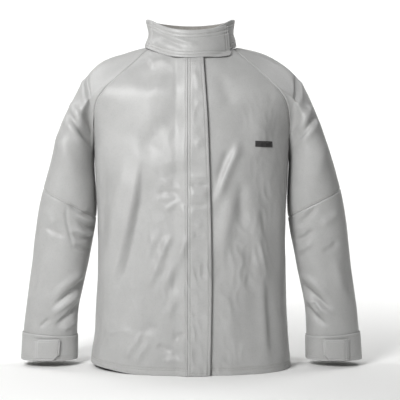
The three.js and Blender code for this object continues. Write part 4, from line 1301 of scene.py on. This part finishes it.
x, z = np.meshgrid(np.linspace(-0.5, 0.5, patch["columns"]) * patch["width"] + patch["x"],
                   np.linspace(-0.5, 0.5, patch["rows"]) * patch["height"] + patch["z"])
patchPoints = onSurface(leftFront, x, z)
for _ in range(3):
    patchPoints[1:-1, 1:-1, 1] = (patchPoints[:-2, 1:-1, 1] + patchPoints[2:, 1:-1, 1]
                                  + patchPoints[1:-1, :-2, 1] + patchPoints[1:-1, 2:, 1]) / 4
patchGrid = makeGrid(patchPoints, inside=bodyInside(patchPoints))
patchTop = patch["lift"] + patch["thick"]
shell("blank_chest_patch", patchGrid, patchTop, patch["thick"], [patchHide, suede, thread["dark"]],
      [along(patchGrid, rows, cols, patchTop + thread["lift"])
       for rows, cols in ((3, slice(2, -2)), (-4, slice(2, -2)),
                          (slice(3, -3), 2), (slice(3, -3), -3))])

for name in ("right", "left"):
    lower = sleeves[name][1]
    flat, lifts = lower["p"].reshape(-1, 3), lower["n"].reshape(-1, 3)
    for half, lift in (("stud", 2.8), ("socket", 3.7)):
        low, high = nodeBox(f"{name}_cuff_{half}")
        here = int(np.argmin(np.sum((flat - (low + high) / 2) ** 2, axis=1)))
        turned(f"{name}_cuff_{half}_metal", snap[half], flat[here] + lifts[here] * lift,
               lifts[here])

# What moves with what: carried pieces ride on a body's empty; the pieces passed to bend are only
# baked in place, and the frame's parts they cover are hidden
def carry(name, bodyName, *nodes):
    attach(pieces[name], bodyName)
    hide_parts(*nodes)


def bend(name, first, second, start, end, *nodes):
    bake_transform(pieces[name], first, second, start=tuple(start), end=tuple(end))
    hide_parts(*nodes)


jacketPieces = {
    "right_front": ["right_front_panel"], "left_front": ["left_front_panel"],
    "back_body": ["back_panel"], "right_facing": ["right_front_facing"],
    "left_facing": ["left_front_facing"], "neck_facing": ["back_neck_facing"],
    "snap_placket": ["left_snap_placket"], "hanging_loop": ["hanger_loop"],
    "collar_standing_band": ["collar_band", "collar_lining"], "loop_tape": ["collar_loop_tape"],
    "blank_chest_patch": ["chest_patch"],
}
for name, nodes in jacketPieces.items():
    carry(name, "jacket", *nodes)
for k in range(1, snapCount + 1):
    carry(f"snap_stud_{k}_metal", "jacket", f"snap_stud_{k}")
    carry(f"snap_socket_{k}_metal", "storm_flap", f"snap_socket_{k}")
carry("hook_tape", "collar_tab", "collar_hook_tape")

flapFold = ((-0.007, -0.15, 0.4), (0.004, -0.15, 0.4))
bend("storm_flap_face", "jacket", "storm_flap", *flapFold, "storm_flap_outer")
bend("storm_flap_underside", "jacket", "storm_flap", *flapFold, "storm_flap_lining")
bend("collar_strap", "jacket", "collar_tab", (-0.036, -0.09, 0.76), (-0.012, -0.09, 0.76),
     "collar_tab", "collar_tab_lining")
for name, side in (("right", -1), ("left", 1)):
    arm, forearm, tab = f"{name}_arm", f"{name}_forearm", f"{name}_cuff_tab"
    down = np.array([0.45 * side, 0, -0.89]) / math.hypot(0.45, 0.89)
    underarm = np.array([side * 0.233, 0, 0.520])
    bend(f"{name}_raglan_sleeve", "jacket", arm, underarm + down * 0.004,
         underarm + down * 0.136, f"{name}_shoulder_panel", f"{name}_upper_sleeve")
    bend(f"{name}_lower_sleeve", arm, forearm, (0, 0, 0.346), (0, 0, 0.232),
         f"{name}_elbow_panel", f"{name}_forearm_front_panel", f"{name}_forearm_back_panel")
    bend(f"{tab}_leather", forearm, tab, (side * 0.360, -0.05, 0.04),
         (side * 0.359 - 0.006 * side, -0.05, 0.04), tab)
    carry(f"{name}_cuff_band_leather", forearm, f"{name}_cuff_band")
    carry(f"{name}_cuff_stud_metal", forearm, f"{name}_cuff_stud")
    carry(f"{name}_cuff_socket_metal", tab, f"{name}_cuff_socket")

slots = {"pearl_leather": ["front", "back_body", "sleeve", "cuff_band", "cuff_tab", "collar_s",
                           "storm_flap", "placket"],
         "lining_leather": ["facing", "underside", "loop"], "snap_metal": ["metal"],
         "hook_and_loop": ["tape"], "patch_leather": ["patch"]}
for name, piece in pieces.items():
    for slotName, words in slots.items():
        any(word in name for word in words)


def cloth(name, grid):  # works out a panel's surface area, width and length, which nothing uses
    p = grid["p"]
    if grid["closed"]:
        p = np.concatenate([p, p[:, :1]], 1)
    a, b = p[1:, :-1] - p[:-1, :-1], p[:-1, 1:] - p[:-1, :-1]
    area = np.sum(np.linalg.norm(np.cross(a, b), axis=-1)) * mm * mm
    wide = np.max(np.sum(np.linalg.norm(np.diff(p, axis=1), axis=-1), axis=1)) * mm
    long = np.max(np.sum(np.linalg.norm(np.diff(p, axis=0), axis=-1), axis=0)) * mm


for name, grid in (("right_front", rightFront), ("left_front", leftFront), ("back_body", back),
                   ("storm_flap_face", flapOuter)):
    cloth(name, grid)
for name in ("right", "left"):
    cloth(f"{name}_raglan_sleeve", sleeves[name][0])
    cloth(f"{name}_lower_sleeve", sleeves[name][1])

# Studio: a pale sweep, a soft key from the upper left, a weak fill from the right, and a lamp
# behind each shoulder that lights the sweep
studio = {"sweepHalf": 12, "floorFront": -4, "floorBack": 3.5, "bend": 1.5, "wallHeight": 5,
          "camera": (0.020, -2.0, 0.393), "lens": 75}
bendRadius, bendY = studio["bend"], studio["floorBack"] - studio["bend"]
profileLine = [(studio["floorFront"], 0), (bendY, 0)]
profileLine += [(bendY + bendRadius * math.sin(t), bendRadius - bendRadius * math.cos(t))
                for t in np.linspace(0.1, math.pi / 2, 14)]
profileLine.append((studio["floorBack"], studio["wallHeight"]))
sweepVerts = [(x, y, z) for y, z in profileLine
              for x in (-studio["sweepHalf"], studio["sweepHalf"])]
sweepFaces = [(2 * k, 2 * k + 1, 2 * k + 3, 2 * k + 2) for k in range(len(profileLine) - 1)]
sweepMesh = bpy.data.meshes.new("paper_sweep")
sweepMesh.from_pydata(sweepVerts, [], sweepFaces)
sweepMesh.polygons.foreach_set("use_smooth", np.ones(len(sweepFaces), bool))
sweep = bpy.data.objects.new("paper_sweep", sweepMesh)
bpy.context.scene.collection.objects.link(sweep)
paper, _, paperShader, _ = startMaterial("white_backdrop_paper")
paperShader.inputs["Base Color"].default_value = linear("#f6f6f5")
paperShader.inputs["Roughness"].default_value = 0.95
sweepMesh.materials.append(paper)

world = bpy.data.worlds.new("studio_white")
world.use_nodes = True
surround = world.node_tree.nodes["Background"]
surround.inputs["Color"].default_value = linear("#ffffff")
surround.inputs["Strength"].default_value = 0.15
bpy.context.scene.world = world


def softbox(name, place, aim, size, power):
    light = bpy.data.lights.new(name, "AREA")
    light.shape, light.size, light.energy = "DISK", size, power
    lamp = bpy.data.objects.new(name, light)
    lamp.location = place
    lamp.rotation_euler = (Vector(aim) - Vector(place)).to_track_quat("-Z", "Y").to_euler()
    bpy.context.scene.collection.objects.link(lamp)


lamps = {  # place, what it points at, width in metres and watts
    "key": ((-0.95, -1.65, 1.4), (-0.05, 0, 0.45), 0.9, 44),
    "fill": ((2.0, -1.9, 0.8), (0, 0, 0.4), 1.2, 1),
    "backdropLeft": ((-1.6, 0.9, 2.4), (-0.9, 3.2, 0.6), 1.5, 52),
    "backdropRight": ((1.6, 0.9, 2.4), (0.9, 3.2, 0.6), 1.5, 52),
}
for name, (place, aim, size, power) in lamps.items():
    softbox(name, place, aim, size, power)
camera = bpy.data.cameras.new("camera")
camera.lens = studio["lens"]
camera.sensor_width = 36
view = bpy.data.objects.new("camera", camera)
view.location = studio["camera"]
view.rotation_euler = (math.pi / 2, 0, 0)
bpy.context.scene.collection.objects.link(view)
bpy.context.scene.camera = view
bpy.context.scene.view_settings.view_transform = "Standard"
print("studio lit")
